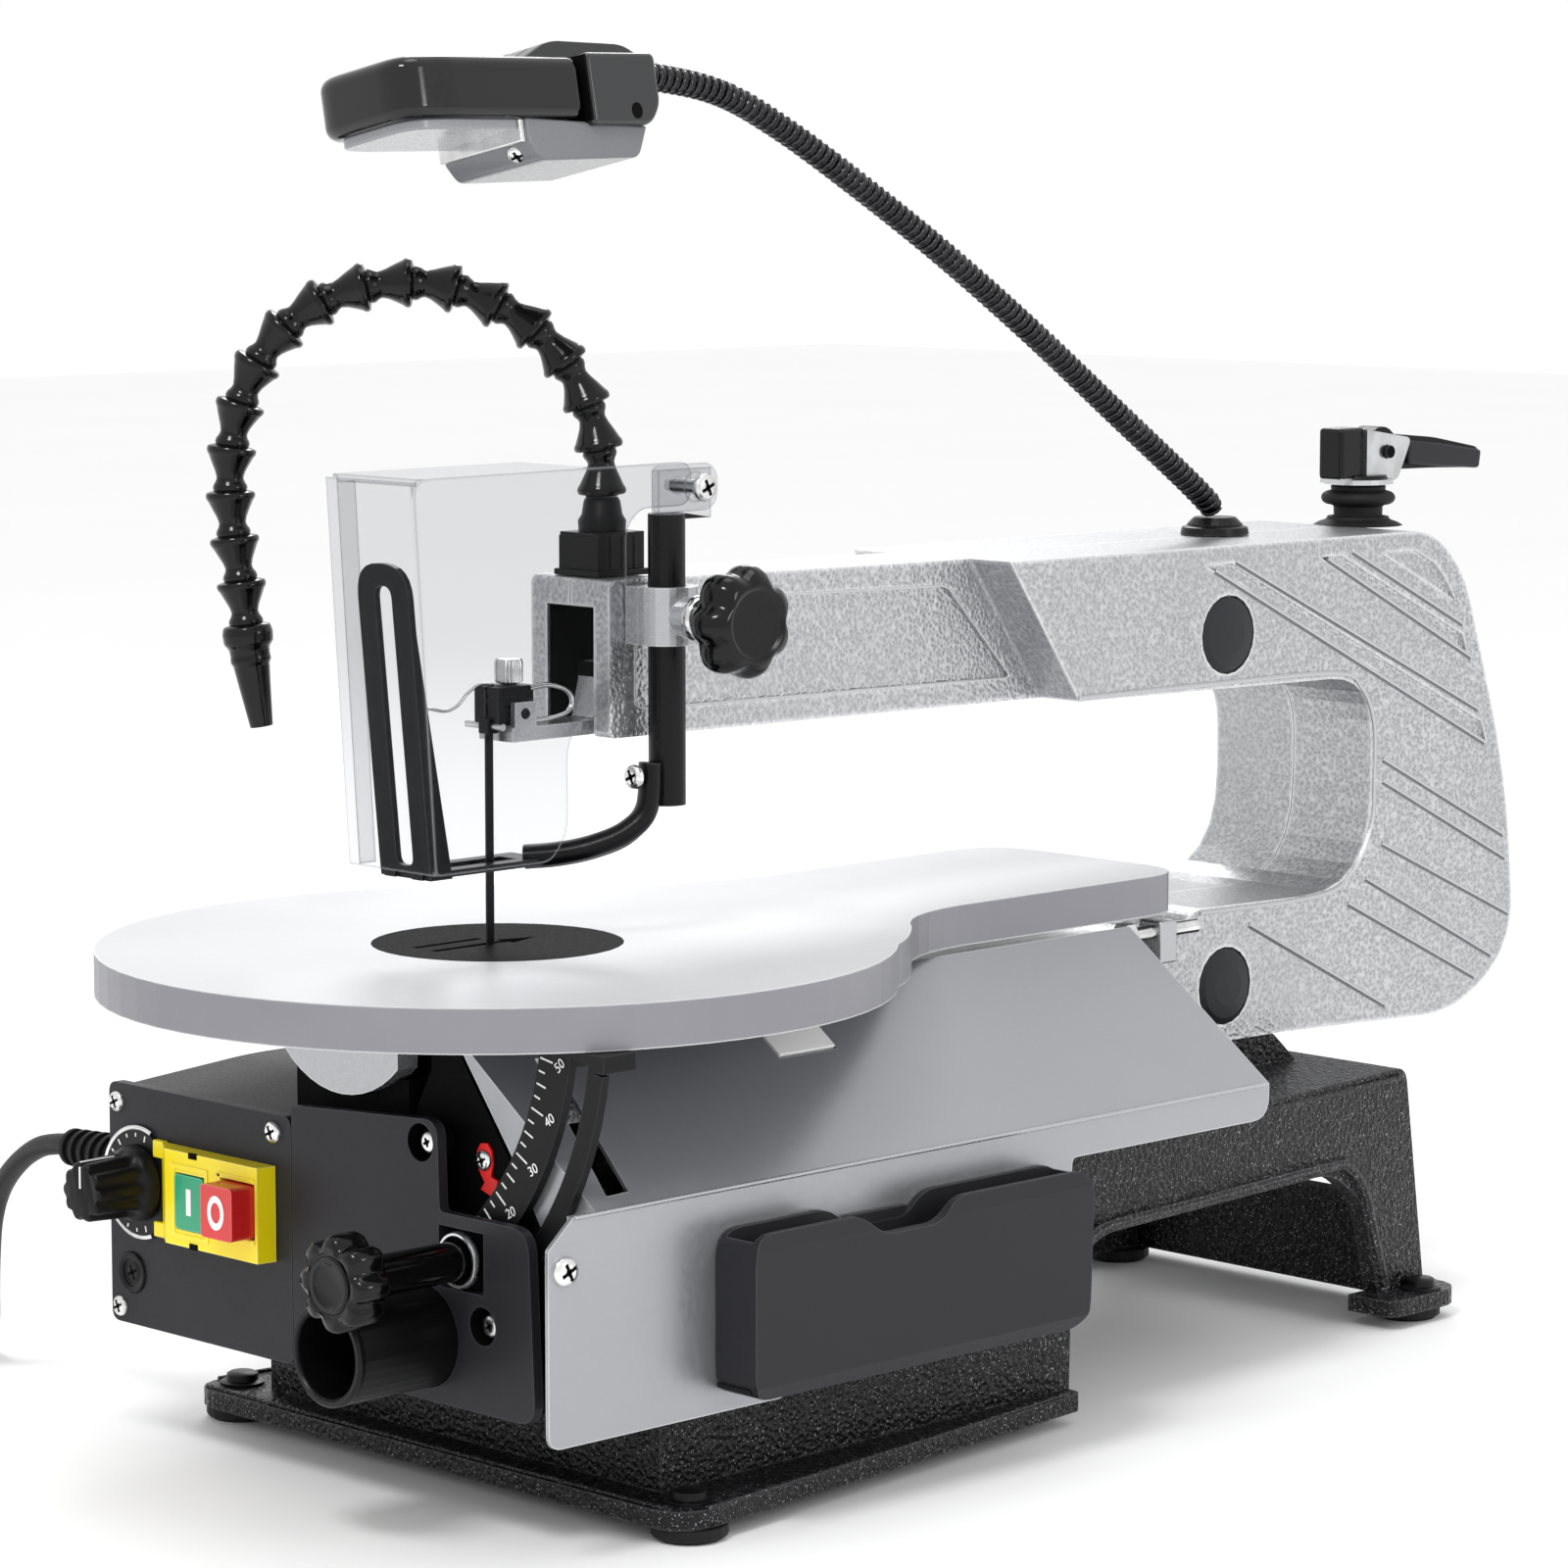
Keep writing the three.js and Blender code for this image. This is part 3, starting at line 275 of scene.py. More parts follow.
class Nodes:
    """Small helper that builds one material's node tree."""

    def __init__(self, name):
        self.material = bpy.data.materials.new(name)
        self.material.use_nodes = True
        self.tree = self.material.node_tree
        self.shader = self.tree.nodes["Principled BSDF"]
        self.coords = self.tree.nodes.new("ShaderNodeTexCoord").outputs["Object"]

    def feed(self, socket, value):
        """Links an output to a socket, or gives the socket a plain value."""
        if isinstance(value, bpy.types.NodeSocket):
            self.tree.links.new(value, socket)
        else:
            socket.default_value = value

    def add(self, kind, **inputs):
        node = self.tree.nodes.new(kind)
        for key, value in inputs.items():
            self.feed(node.inputs[key.replace("_", " ")], value)
        return node

    def noise(self, scale, detail=3.0, rough=0.55):
        node = self.add("ShaderNodeTexNoise", Vector=self.coords, Scale=scale, Detail=detail, Roughness=rough)
        return node.outputs["Fac"]

    def cells(self, scale):
        node = self.add("ShaderNodeTexVoronoi", Vector=self.coords, Scale=scale)
        node.feature = "SMOOTH_F1"
        return node.outputs["Distance"]

    def ramp(self, value, low, high, to_low=0.0, to_high=1.0):
        """Maps low..high to to_low..to_high, and holds the ends."""
        node = self.add("ShaderNodeMapRange", Value=value, From_Min=low, From_Max=high, To_Min=to_low,
                        To_Max=to_high)
        node.clamp = True
        return node.outputs["Result"]

    def roughness(self, texture, low, high):
        return self.ramp(texture, 0.3, 0.7, low, high)

    def math(self, operation, a, b=0.0):
        node = self.add("ShaderNodeMath")
        node.operation = operation
        for socket, value in zip(node.inputs, (a, b)):
            self.feed(socket, value)
        return node.outputs["Value"]

    def mix(self, factor, a, b):
        """Mixes two colours. Inputs 6 and 7 and output 2 are the node's colour sockets."""
        node = self.add("ShaderNodeMix")
        node.data_type = "RGBA"
        for number, value in ((0, factor), (6, a), (7, b)):
            self.feed(node.inputs[number], value)
        return node.outputs[2]

    def edge(self, radius, low=0.02, high=0.25):
        """1 along the edges and 0 on flat faces; most materials paint a lighter line there, a painted
        highlight.
        """
        bevel = self.add("ShaderNodeBevel", Radius=radius * MM)
        bevel.samples = 4
        dot = self.add("ShaderNodeVectorMath")
        dot.operation = "DOT_PRODUCT"
        self.feed(dot.inputs[0], bevel.outputs["Normal"])
        self.feed(dot.inputs[1], self.add("ShaderNodeNewGeometry").outputs["Normal"])
        return self.ramp(self.math("SUBTRACT", 1.0, dot.outputs["Value"]), low, high)

    def facing(self, which, axis):
        """How far a face looks along an axis."""
        normal = self.add("ShaderNodeNewGeometry").outputs[which]
        return self.add("ShaderNodeSeparateXYZ", Vector=normal).outputs[axis]

    def sideways(self):
        """1 on faces that look along X, falling to a little on the others."""
        return self.ramp(self.math("ABSOLUTE", self.facing("True Normal", "X")), 0.3, 0.9, 0.18, 1.0)

    def bump(self, height, strength, distance, below=None):
        node = self.add("ShaderNodeBump", Height=height, Strength=strength, Distance=distance * MM)
        if below is not None:
            self.feed(node.inputs["Normal"], below)
        return node.outputs["Normal"]

    def set(self, **values):
        for key, value in values.items():
            self.feed(self.shader.inputs[key.replace("_", " ")], value)
        return self.material


def hammered_silver():
    """Textured silver paint, rougher on the faces that look sideways, with a painted highlight along the
    edges.
    """
    m = Nodes("hammered_silver")
    cells = m.cells(760.0)
    grain = m.noise(900.0, 4.0, 0.6)
    cloud = m.noise(14.0, 3.0, 0.5)
    mottled = m.mix(m.ramp(cells, 0.1, 0.75), srgb("#949598"), srgb("#d0d1d3"))
    tone = m.mix(m.ramp(cloud, 0.35, 0.7, 0.0, 0.5), mottled, srgb("#acadaf"))
    # Light colour along the edges: a painted highlight.
    colour = m.mix(m.edge(2.6, 0.01, 0.2), tone, srgb("#ececed"))
    normal = m.bump(cells, m.math("MULTIPLY", m.sideways(), 0.55), 0.8)
    normal = m.bump(grain, 0.3, 0.3, normal)
    return m.set(Base_Color=colour, Metallic=0.82, Roughness=m.roughness(grain, 0.27, 0.40), Normal=normal)


def smooth_silver(name, colour, rough, metallic=0.75):
    m = Nodes(name)
    cloud = m.noise(9.0, 4.0, 0.5)
    fine = m.noise(700.0, 2.0, 0.5)
    tone = m.mix(m.ramp(cloud, 0.3, 0.7, 0.0, 0.35), srgb(colour), darker(colour, 0.82))
    # Light colour along the edges: a painted highlight.
    tone = m.mix(m.edge(0.8), tone, srgb("#e8e8e9"))
    return m.set(Base_Color=tone, Metallic=metallic, Roughness=m.roughness(fine, rough - 0.05, rough + 0.06),
                 Normal=m.bump(fine, 0.10, 0.12))


def table_paint():
    """Smooth painted plate: light on top and greyer round the rim, where the darker grey is painted shade,
    with a painted highlight along the edges.
    """
    m = Nodes("table_plate")
    fine = m.noise(800.0, 3.0, 0.6)
    cloud = m.noise(7.0, 4.0, 0.5)
    top = m.mix(m.ramp(cloud, 0.3, 0.7), srgb("#cecfd1"), srgb("#c4c5c8"))
    # The rim's darker grey is painted shade.
    rim = m.mix(m.ramp(cloud, 0.3, 0.7), srgb("#8e8e93"), srgb("#7c7c82"))
    tone = m.mix(m.ramp(m.facing("Normal", "Z"), 0.25, 0.85), rim, top)
    # Light colour along the edges: a painted highlight.
    tone = m.mix(m.edge(1.0), tone, srgb("#ececed"))
    return m.set(Base_Color=tone, Metallic=0.35, Roughness=m.roughness(fine, 0.36, 0.46),
                 Normal=m.bump(fine, 0.08, 0.12))


def hammered_black(name, edge_colour):
    """Textured black paint with small bright flecks, which are painted glints, and lighter edges, a painted
    highlight.
    """
    m = Nodes(name)
    cells = m.cells(640.0)
    grain = m.noise(420.0, 5.0, 0.7)
    tone = m.mix(m.ramp(cells, 0.05, 0.5), srgb("#020203"), srgb("#141416"))
    # Small bright flecks: painted glints.
    flecks = m.ramp(m.noise(1400.0, 1.0, 0.4), 0.65, 0.73)
    tone = m.mix(flecks, tone, srgb("#9a9a9e"))
    # Lighter colour along the edges: a painted highlight.
    tone = m.mix(m.edge(1.5), tone, srgb(edge_colour))
    normal = m.bump(cells, 0.9, 1.1)
    normal = m.bump(grain, 0.5, 0.5, normal)
    return m.set(Base_Color=tone, Metallic=0.1, Roughness=m.roughness(grain, 0.26, 0.46), Normal=normal,
                 Specular_IOR_Level=0.24, Coat_Weight=0.04, Coat_Roughness=0.2)


def plastic(name, colour, rough=0.45, grain_scale=1500.0, bump=0.12, edge_colour=None, coat=0.0, metallic=0.0,
            shine=0.5):
    m = Nodes(name)
    grain = m.noise(grain_scale, 3.0, 0.6)
    cloud = m.noise(12.0, 3.0, 0.5)
    tone = m.mix(m.ramp(cloud, 0.35, 0.7), srgb(colour), darker(colour, 0.86))
    # A lighter edge_colour paints a highlight along the edges; the lamp's near-black ones keep the plastic's
    # own black.
    if edge_colour:
        tone = m.mix(m.edge(0.7), tone, srgb(edge_colour))
    return m.set(Base_Color=tone, Roughness=m.roughness(grain, rough - 0.05, rough + 0.08),
                 Normal=m.bump(grain, bump, 0.15), Coat_Weight=coat, Coat_Roughness=0.08, Metallic=metallic,
                 Specular_IOR_Level=shine)


def steel(name, colour="#d6d7d8", rough=0.24):
    m = Nodes(name)
    fine = m.noise(1400.0, 3.0, 0.6)
    cloud = m.noise(120.0, 3.0, 0.5)
    tone = m.mix(m.ramp(cloud, 0.35, 0.7), srgb(colour), darker(colour, 0.7))
    return m.set(Base_Color=tone, Metallic=1.0, Roughness=m.roughness(cloud, rough - 0.06, rough + 0.1),
                 Normal=m.bump(fine, 0.12, 0.1))


def clear_plastic():
    """Lightly tinted where it is looked through, glossy at a low angle, and grey along its edges, where the
    grey is a painted reflection.
    """
    m = Nodes("clear_plastic")
    cloud = m.noise(40.0, 3.0, 0.5)
    edge = m.edge(1.4, 0.01, 0.12)
    fresnel = m.add("ShaderNodeFresnel", IOR=1.45).outputs["Fac"]
    tone = m.mix(m.ramp(cloud, 0.3, 0.7), srgb("#d4d6d8"), srgb("#bfc1c4"))
    # Grey along the edges: a painted reflection.
    tone = m.mix(edge, tone, srgb("#85878b"))
    m.set(Base_Color=tone, Roughness=m.roughness(cloud, 0.05, 0.10), Specular_IOR_Level=0.7)
    see = m.add("ShaderNodeBsdfTransparent", Color=(0.875, 0.877, 0.884, 1))
    weight = m.math("MAXIMUM", m.ramp(fresnel, 0.07, 1.0, 0.004, 0.5), m.math("MULTIPLY", edge, 0.75))
    inside = m.add("ShaderNodeNewGeometry").outputs["Backfacing"]
    blend = m.add("ShaderNodeMixShader", Fac=m.math("MULTIPLY", weight, m.ramp(inside, 0.0, 1.0, 1.0, 0.02)))
    m.feed(blend.inputs[1], see.outputs["BSDF"])
    m.feed(blend.inputs[2], m.shader.outputs["BSDF"])
    m.feed(m.tree.nodes["Material Output"].inputs["Surface"], blend.outputs["Shader"])
    return m.material


def ink(name, colour):
    m = Nodes(name)
    wear = m.noise(900.0, 3.0, 0.6)
    tone = m.mix(m.ramp(wear, 0.55, 0.75, 0.0, 0.25), srgb(colour), darker(colour, 0.8))
    return m.set(Base_Color=tone, Roughness=m.roughness(wear, 0.40, 0.53))


silver = hammered_silver()
smooth = smooth_silver("smooth_silver", "#b4b5b8", 0.28)
table_plate = table_paint()
panel_silver = smooth_silver("panel_silver", "#a6a7ab", 0.34, 0.7)
# The lighter edge colours of these two black paints are painted highlights.
cast_black = hammered_black("hammered_black", "#434345")
lip_black = hammered_black("hammered_lip", "#6e6e71")
# A lighter edge colour in the plastics below is a painted highlight.
dark = plastic("dark_panel", "#28282c", 0.42, 900.0, 0.10, "#4c4c52", shine=0.22)
black = plastic("black_plastic", "#0c0c0d", 0.34, 1500.0, 0.15, "#2c2c31", shine=0.22)
cap_black = plastic("cap_black", "#242529", 0.45, 1200.0, 0.2, shine=0.25)
gloss = plastic("gloss_black", "#040404", 0.13, 500.0, 0.03, "#202022", shine=0.30)
blackened = plastic("blackened_steel", "#101012", 0.30, 1300.0, 0.12, "#505054", metallic=0.3, shine=0.25)
scale_black = plastic("scale_black", "#0b0b0d", 0.42, 1400.0, 0.12, "#2c2c30", shine=0.2)
yellow = plastic("yellow_plastic", "#ffe800", 0.36, 1400.0, 0.10, "#fff79a", coat=0.2)
green = plastic("green_plastic", "#12a172", 0.34, 1400.0, 0.08, "#6fd9b4", coat=0.3)
red = plastic("red_plastic", "#d61f20", 0.32, 1400.0, 0.08, "#f4837c", coat=0.3)
rubber = plastic("rubber", "#0e0e0f", 0.6, 900.0, 0.35, shine=0.3)
cord_black = plastic("cord_sheath", "#101011", 0.48, 900.0, 0.2)
bright = steel("bright_steel")
screw_metal = steel("screw_metal", "#f0f0ef", 0.22)
chrome = steel("chrome", "#e6e6e6", 0.10)
white_ink = ink("white_ink", "#f4f4f2")
# Near-black for recesses, holes, notches and gaps: painted shade; the lamp's seam uses it as a dark joint.
shade_and_joint_black = plastic("shade_and_joint_black", "#040405", 0.7, 800.0, 0.1, shine=0.08)
insert_black = plastic("insert_black", "#161618", 0.55, 1100.0, 0.12, "#39393d", shine=0.02)
lamp_gloss = plastic("lamp_gloss", "#030304", 0.10, 500.0, 0.02, "#000000", shine=0.5)
# A lighter grey than the lamp's black: a painted reflection on the same black plastic, with its edges left
# near-black.
lamp_painted_reflection = plastic("lamp_painted_reflection", "#1c1d1f", 0.12, 500.0, 0.02, "#020202", shine=0.7)
# A darker grey for the line under each frame rib: a painted shadow.
rib_painted_shadow = plastic("rib_painted_shadow", "#7c7d80", 0.4, 900.0, 0.1, metallic=0.5)
clear = clear_plastic()
pointer_red = plastic("pointer_red", "#f01414", 0.4, 1200.0, 0.05)
# A lighter metal than the neck's black: a painted highlight along each ridge.
ridge_painted_highlight = steel("ridge_painted_highlight", "#434346", 0.12)
lamp_grey = plastic("lamp_grey", "#6e6f73", 0.3, 700.0, 0.1, coat=0.3)
lens_material = plastic("lamp_lens_material", "#8e8f93", 0.25, 600.0, 0.1, coat=0.2)

# Materials, bevel widths in millimetres, and the nodes that have them.
NODE_LOOKS = (
    (cast_black, 0.9, "base_casting"), (silver, 0.8, "frame_half_left frame_half_right"),
    (rubber, 0.4, "foot_front_left foot_front_right foot_rear_left foot_rear_right cord_gland"),
    (cap_black, 0.4, "pivot_cap_upper_left pivot_cap_upper_right pivot_cap_lower_left pivot_cap_lower_right"),
    (bright, 0.3, "pivot_pin_upper pivot_pin_lower con_rod drive_crank tension_rod"),
    (bright, 0.5, "motor_can"), (smooth, 0.4, "upper_rocker_arm lower_rocker_arm"),
    (smooth, 0.5, "clamp_band"), (smooth, 0.8, "trunnion_front"),
    (blackened, 0, "blade"), (blackened, 0.4, "blade_clamp_upper blade_clamp_lower hold_down_rod"),
    (blackened, 0.25, "drop_foot"), (blackened, 0.6, "cam_lever"),
    (screw_metal, 0.3, "thumb_screw_upper thumb_screw_lower"),
    (black, 0.4, "tension_knob speed_knob neck_socket"), (black, 0.5, "lock_knob dust_port hose_base"),
    (black, 0.3, "speed_dial"), (black, 0.8, "mains_plug"),
    (table_plate, 1.0, "table"), (insert_black, 0.3, "table_insert"), (shade_and_joint_black, 0.5, "trunnion_seat"),
    (scale_black, 0.3, "tilt_scale"), (panel_silver, 0.25, "side_panel"), (dark, 0.6, "control_panel"),
    (dark, 0.7, "front_cover"), (dark, 1.0, "motor_cover"), (dark, 1.2, "toolbox"),
    (yellow, 0.6, "switch_housing"), (green, 0.5, "button_on"), (red, 0.5, "button_off"),
    (gloss, 1.2, "star_knob"), (gloss, 1.5, "lamp_head"), (gloss, 0, "air_hose hose_nozzle lamp_neck"),
    (clear, 0.5, "blade_guard"), (lens_material, 0.5, "lamp_lens"),
    (cord_black, 0, "cord_lead cord_coil cord_tail"),
)
SHARP_ANGLE = 32.0


def dress(node, material, bevel_width):
    """Gives a CAD node its material, smooth faces and bevel."""
    node.data.materials.clear()
    node.data.materials.append(material)
    for polygon in node.data.polygons:
        polygon.material_index = 0
        polygon.use_smooth = True
    node.data.set_sharp_from_angle(angle=radians(SHARP_ANGLE))
    if bevel_width:
        add_bevel(node, bevel_width, 2, SHARP_ANGLE)


for look, look_bevel, node_names in NODE_LOOKS:
    for node_name in node_names.split():
        dress(nodes[node_name], look, look_bevel)

# ---------- power cord route
CORD_RADIUS = 3.6
CORD_STEPS = 900
FLOOR_GAP = 0.05
LEAD = [
    (-145.4, -58, 92), (-150, -58, 92), (-161, -58, 89.5), (-173, -57.5, 83), (-185, -56, 73),
    (-195, -53, 60), (-204, -48, 45), (-213, -42, 30), (-223, -35, 17), (-235, -28, 8), (-248, -23.5, 4.2),
    (-258, -21.6, 3.7),
]
TAIL = [(-262, -128, 3.7), (-256, -128, 4), (-250, -128, 5.6), (-244.8, -128, 6.2)]
COIL_CENTRE = Vector((-290, -75))
COIL_START = radians(68)
COIL_TURNS, TURN_POINTS = 5.62, 40
LAYER_TURNS, LAST_LAYER = 2, 2
OUTER_TURN, LAYER_SPREAD = 51.5, 15.5
LAYER_RISE, HIGHEST_LAYER = 4.588, 2.4


def coil_points():
    """A round coil of three layers of up to two turns, which wind inwards, outwards and inwards again."""
    points = []
    for i in range(int(COIL_TURNS * TURN_POINTS) + 1):
        turn = i / TURN_POINTS
        angle = COIL_START + 2 * pi * turn
        layer = min(int(turn / LAYER_TURNS), LAST_LAYER)
        inside = turn - LAYER_TURNS * layer
        swing = inside / LAYER_TURNS if layer % 2 == 0 else 1 - inside / LAYER_TURNS
        radius = OUTER_TURN - LAYER_SPREAD * swing
        height = CORD_RADIUS + 0.15 + LAYER_RISE * min(turn / LAYER_TURNS, HIGHEST_LAYER)
        across = COIL_CENTRE + radius * Vector((cos(angle), sin(angle)))
        points.append((across.x, across.y, height))
    return points


# ---------- stage and light
FLOOR_HALF = 6  # metres
floor_corners = [(x * FLOOR_HALF, y * FLOOR_HALF, 0) for x, y in SQUARE]
floor_nodes = Nodes("floor")
floor_tone = floor_nodes.mix(floor_nodes.noise(3), srgb("#fbfbfb"), srgb("#f7f7f7"))
floor_nodes.set(Base_Color=floor_tone, Roughness=0.85)
floor = link(mesh_from(floor_corners, [(0, 1, 2, 3)]), "floor", None, floor_nodes.material, smooth=0)

world = bpy.data.worlds.new("world")
world.use_nodes = True
background = world.node_tree.nodes["Background"].inputs
background["Color"].default_value = (1, 1, 1, 1)
background["Strength"].default_value = 1
bpy.context.scene.world = world


def area_light(name, location, target, size, energy, size_y=None):
    """Location, target and sizes are in metres."""
    data = bpy.data.lights.new(name, "AREA")
    data.energy = energy
    data.shape = "RECTANGLE"
    data.size = size
    data.size_y = size_y or size
    lamp = bpy.data.objects.new(name, data)
    bpy.context.scene.collection.objects.link(lamp)
    lamp.location = location
    lamp.rotation_mode = "QUATERNION"
    lamp.rotation_quaternion = (Vector(target) - Vector(location)).to_track_quat("-Z", "Y")


area_light("key", (0.5, -1.3, 1.8), (0, 0, 0.15), 0.5, 15, 0.35)
area_light("side", (1.9, 0.3, 0.8), (0, 0, 0.2), 0.35, 5, 0.6)
area_light("rim", (-1.3, 1.2, 1.3), (0, 0.1, 0.2), 0.6, 6)
area_light("top", (0, 0.1, 2.2), (0, 0, 0.1), 0.8, 5)
bpy.context.scene.view_settings.view_transform = "Standard"


# ---------- cord and gland
def cord_points():
    """The whole cord, with no point lower than it lies on the floor."""
    line = smooth_path(LEAD + coil_points() + TAIL, CORD_STEPS)
    return [Vector((p.x, p.y, max(p.z, CORD_RADIUS + FLOOR_GAP))) for p in line]


cord_line = cord_points()
cord = link(tube(cord_line, CORD_RADIUS, 14), "cord", "frame", cord_black, smooth=60)
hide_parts("cord_lead", "cord_coil", "cord_tail")
GLAND_PITCH = 5.2
gland_rings = [rod((0, -58, 92), "x", -143 + GLAND_PITCH * i, -141 + GLAND_PITCH * i, 6.3 + 0.28 * i, 28)
               for i in range(5)]
link(merge(gland_rings), "gland_ribs", "frame", rubber, bevel=0.3)

# ---------- screws
TOWARDS = Vector((0, -1, 0))
OUT_LEFT = Vector((-1, 0, 0))
RECESS_TURN = radians(25)
PANEL_FACE = -68
COVER_CUP = [(5.7, -0.1), (5.7, -8), (0, -8), (0, -8.6), (5.85, -8.6), (5.85, -0.1), (5.7, -0.1)]
WASHER = [(4.6, -0.2), (4.6, 0.5), (5.2, 1), (6.4, 1), (6.9, 0.4), (6.9, -0.2), (4.6, -0.2)]


def cross_screw(name, place, direction, radius, body, material=screw_metal, height=None, drive=0.62):
    """A pan head with a cross recess drawn as two near-black bars, which are painted shade, standing on place
    and facing direction.
    """
    height = height or radius * 0.5
    direction = AXES[direction] if isinstance(direction, str) else Vector(direction)
    profile = [(0, -0.2), (radius, -0.2), (radius, height * 0.35), (radius * 0.88, height * 0.72),
               (radius * 0.6, height * 0.93), (radius * 0.34, height), (0, height * 0.7)]
    link(lathe(place, direction, profile, 28), name, body, material)
    first, second = frame_of(direction)
    a = first * cos(RECESS_TURN) + second * sin(RECESS_TURN)
    b = direction.cross(a)
    bars = []
    for along, across in ((a, b), (b, a)):
        corners = []
        for low in (height * 0.5, height * 1.02):
            base = Vector(place) + direction * low
            for s, t in SQUARE:
                corners.append(pt(*(base + along * s * radius * drive + across * t * radius * 0.12)))
        bars.append(mesh_from(corners, BOX_FACES))
    link(merge(bars), name + "_cross", body, shade_and_joint_black, smooth=0)


for number, (x, z, radius) in enumerate(((-105.6, 113.6, 3.4), (-26, 114.2, 3.6), (-105.2, 46.2, 3.4))):
    cross_screw(f"panel_screw_{number}", (x, PANEL_FACE, z), TOWARDS, radius, "frame")
cross_screw("panel_screw_dark", (-98.8, -67.6, 58.2), TOWARDS, 4, "frame", black, 0.8)
link(lathe((-98.8, PANEL_FACE, 58.2), TOWARDS, WASHER, 36), "panel_screw_cup", "frame", black)
# The near-black cover cups are painted shade in the screw holes.
for number, (x, z) in enumerate(((44.3, 120.6), (72.4, 68))):
    link(lathe((x, PANEL_FACE, z), TOWARDS, COVER_CUP, 36), f"cover_cup_{number}", "frame", shade_and_joint_black)
    cross_screw(f"cover_screw_{number}", (x + 1.4, -64.8, z), TOWARDS, 3.7, "frame", height=2, drive=0.4)
cross_screw("side_screw_front", (112, -70.6, 91.5), "x", 4.6, "frame", height=2.4)
cross_screw("side_screw_rear", (112, 40, 58), "x", 3.6, "frame")
cross_screw("guard_pivot_screw", (33.7, 62, 313), "x", 4.4, "hold_down_rod", height=2.2)
cross_screw("foot_screw", (28, 36.9, 222), TOWARDS, 3.9, "drop_foot", height=2)
for number, y in enumerate((60, 200)):
    cross_screw(f"arm_screw_{number}", (-18.6, y, 250), OUT_LEFT, 3.4, "frame", height=1.6)
for number, (y, z) in enumerate(((262, 262), (440, 250), (455, 130), (350, 114), (255, 128))):
    cross_screw(f"housing_screw_{number}", (-37, y, z), OUT_LEFT, 3.6, "frame", height=1.6)

# ---------- speed dial
DIAL_X, DIAL_Z = -93.5, 88.7
RING_RADIUS, RING_STEPS = 17.9, 80
RING_GAP = radians(68)  # half of the ring's opening, towards the switch


def dial_ring_path():
    path = []
    for i in range(RING_STEPS + 1):
        angle = RING_GAP + (2 * pi - 2 * RING_GAP) * i / RING_STEPS
        x, z = DIAL_X + RING_RADIUS * cos(angle), DIAL_Z + RING_RADIUS * sin(angle)
        path.append(Vector((x, -68.9, z)))
    return path


def radial_mark(centre, angle, inner, outer, half_width):
    """A thin white bar that points away from a centre, in the XZ plane."""
    outward = Vector((cos(angle), 0, sin(angle)))
    across = Vector((-sin(angle), 0, cos(angle))) * half_width
    quad = [centre + outward * inner + across, centre + outward * outer + across,
            centre + outward * outer - across, centre + outward * inner - across]
    corners = [pt(*q) for q in quad] + [pt(*(q + Vector((0, 0.2, 0)))) for q in quad]
    return mesh_from(corners, BOX_FACES)


link(tube(dial_ring_path(), 0.9, 12), "dial_ring", "frame", chrome)
DIAL_FACE = Vector((DIAL_X, -69.75, DIAL_Z))
ticks = [radial_mark(DIAL_FACE, radians(75 + i * 210 / 12), 14.2 if i % 3 == 0 else 15, 16.2, 0.28)
         for i in range(13)]
link(merge(ticks), "dial_ticks", "frame", white_ink, smooth=0)


def fluted(origin, direction, profile, flutes, depth, name, body, material, sides=120):
    """A lathe body with rounded flutes: profile rows are (radius, distance, share of the flute's depth)."""
    first, second = frame_of(AXES[direction])
    vertices, faces = [], []
    for radius, along, share in profile:
        centre = Vector(origin) + AXES[direction] * along
        for i in range(sides):
            angle = 2 * pi * i / sides
            r = radius - depth * share * (0.5 - 0.5 * cos(flutes * angle)) ** 1.6
            vertices.append(pt(*round_point(centre, first, second, r, angle)))
    rows = len(profile)
    for k in range(rows - 1):
        for i in range(sides):
            j = (i + 1) % sides
            faces.append((k * sides + i, k * sides + j, (k + 1) * sides + j, (k + 1) * sides + i))
    faces.append(tuple(range(sides)))
    faces.append(tuple(range((rows - 1) * sides, rows * sides)))
    return link(mesh_from(vertices, faces), name, body, material, smooth=50)


speed_profile = [(8.9, -92.6, 0.6), (9.4, -92.3, 1), (9.8, -91.4, 1), (10.4, -78.5, 1), (10.5, -75.5, 0.5),
                 (11.2, -74.6, 0), (12.2, -72.4, 0), (12.4, -70.4, 0)]
speed = fluted((DIAL_X, 0, DIAL_Z), "y", speed_profile, 10, 1.5, "speed_knob_grip", "speed_knob", black)
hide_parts("speed_knob")
link(merge([block(-93.8, -93.2, -92.9, -92.5, 90, 97), block(-93.8, -93.2, -92.4, -79, 98.45, 98.75)]),
     "speed_knob_mark", "speed_knob", white_ink, smooth=0)

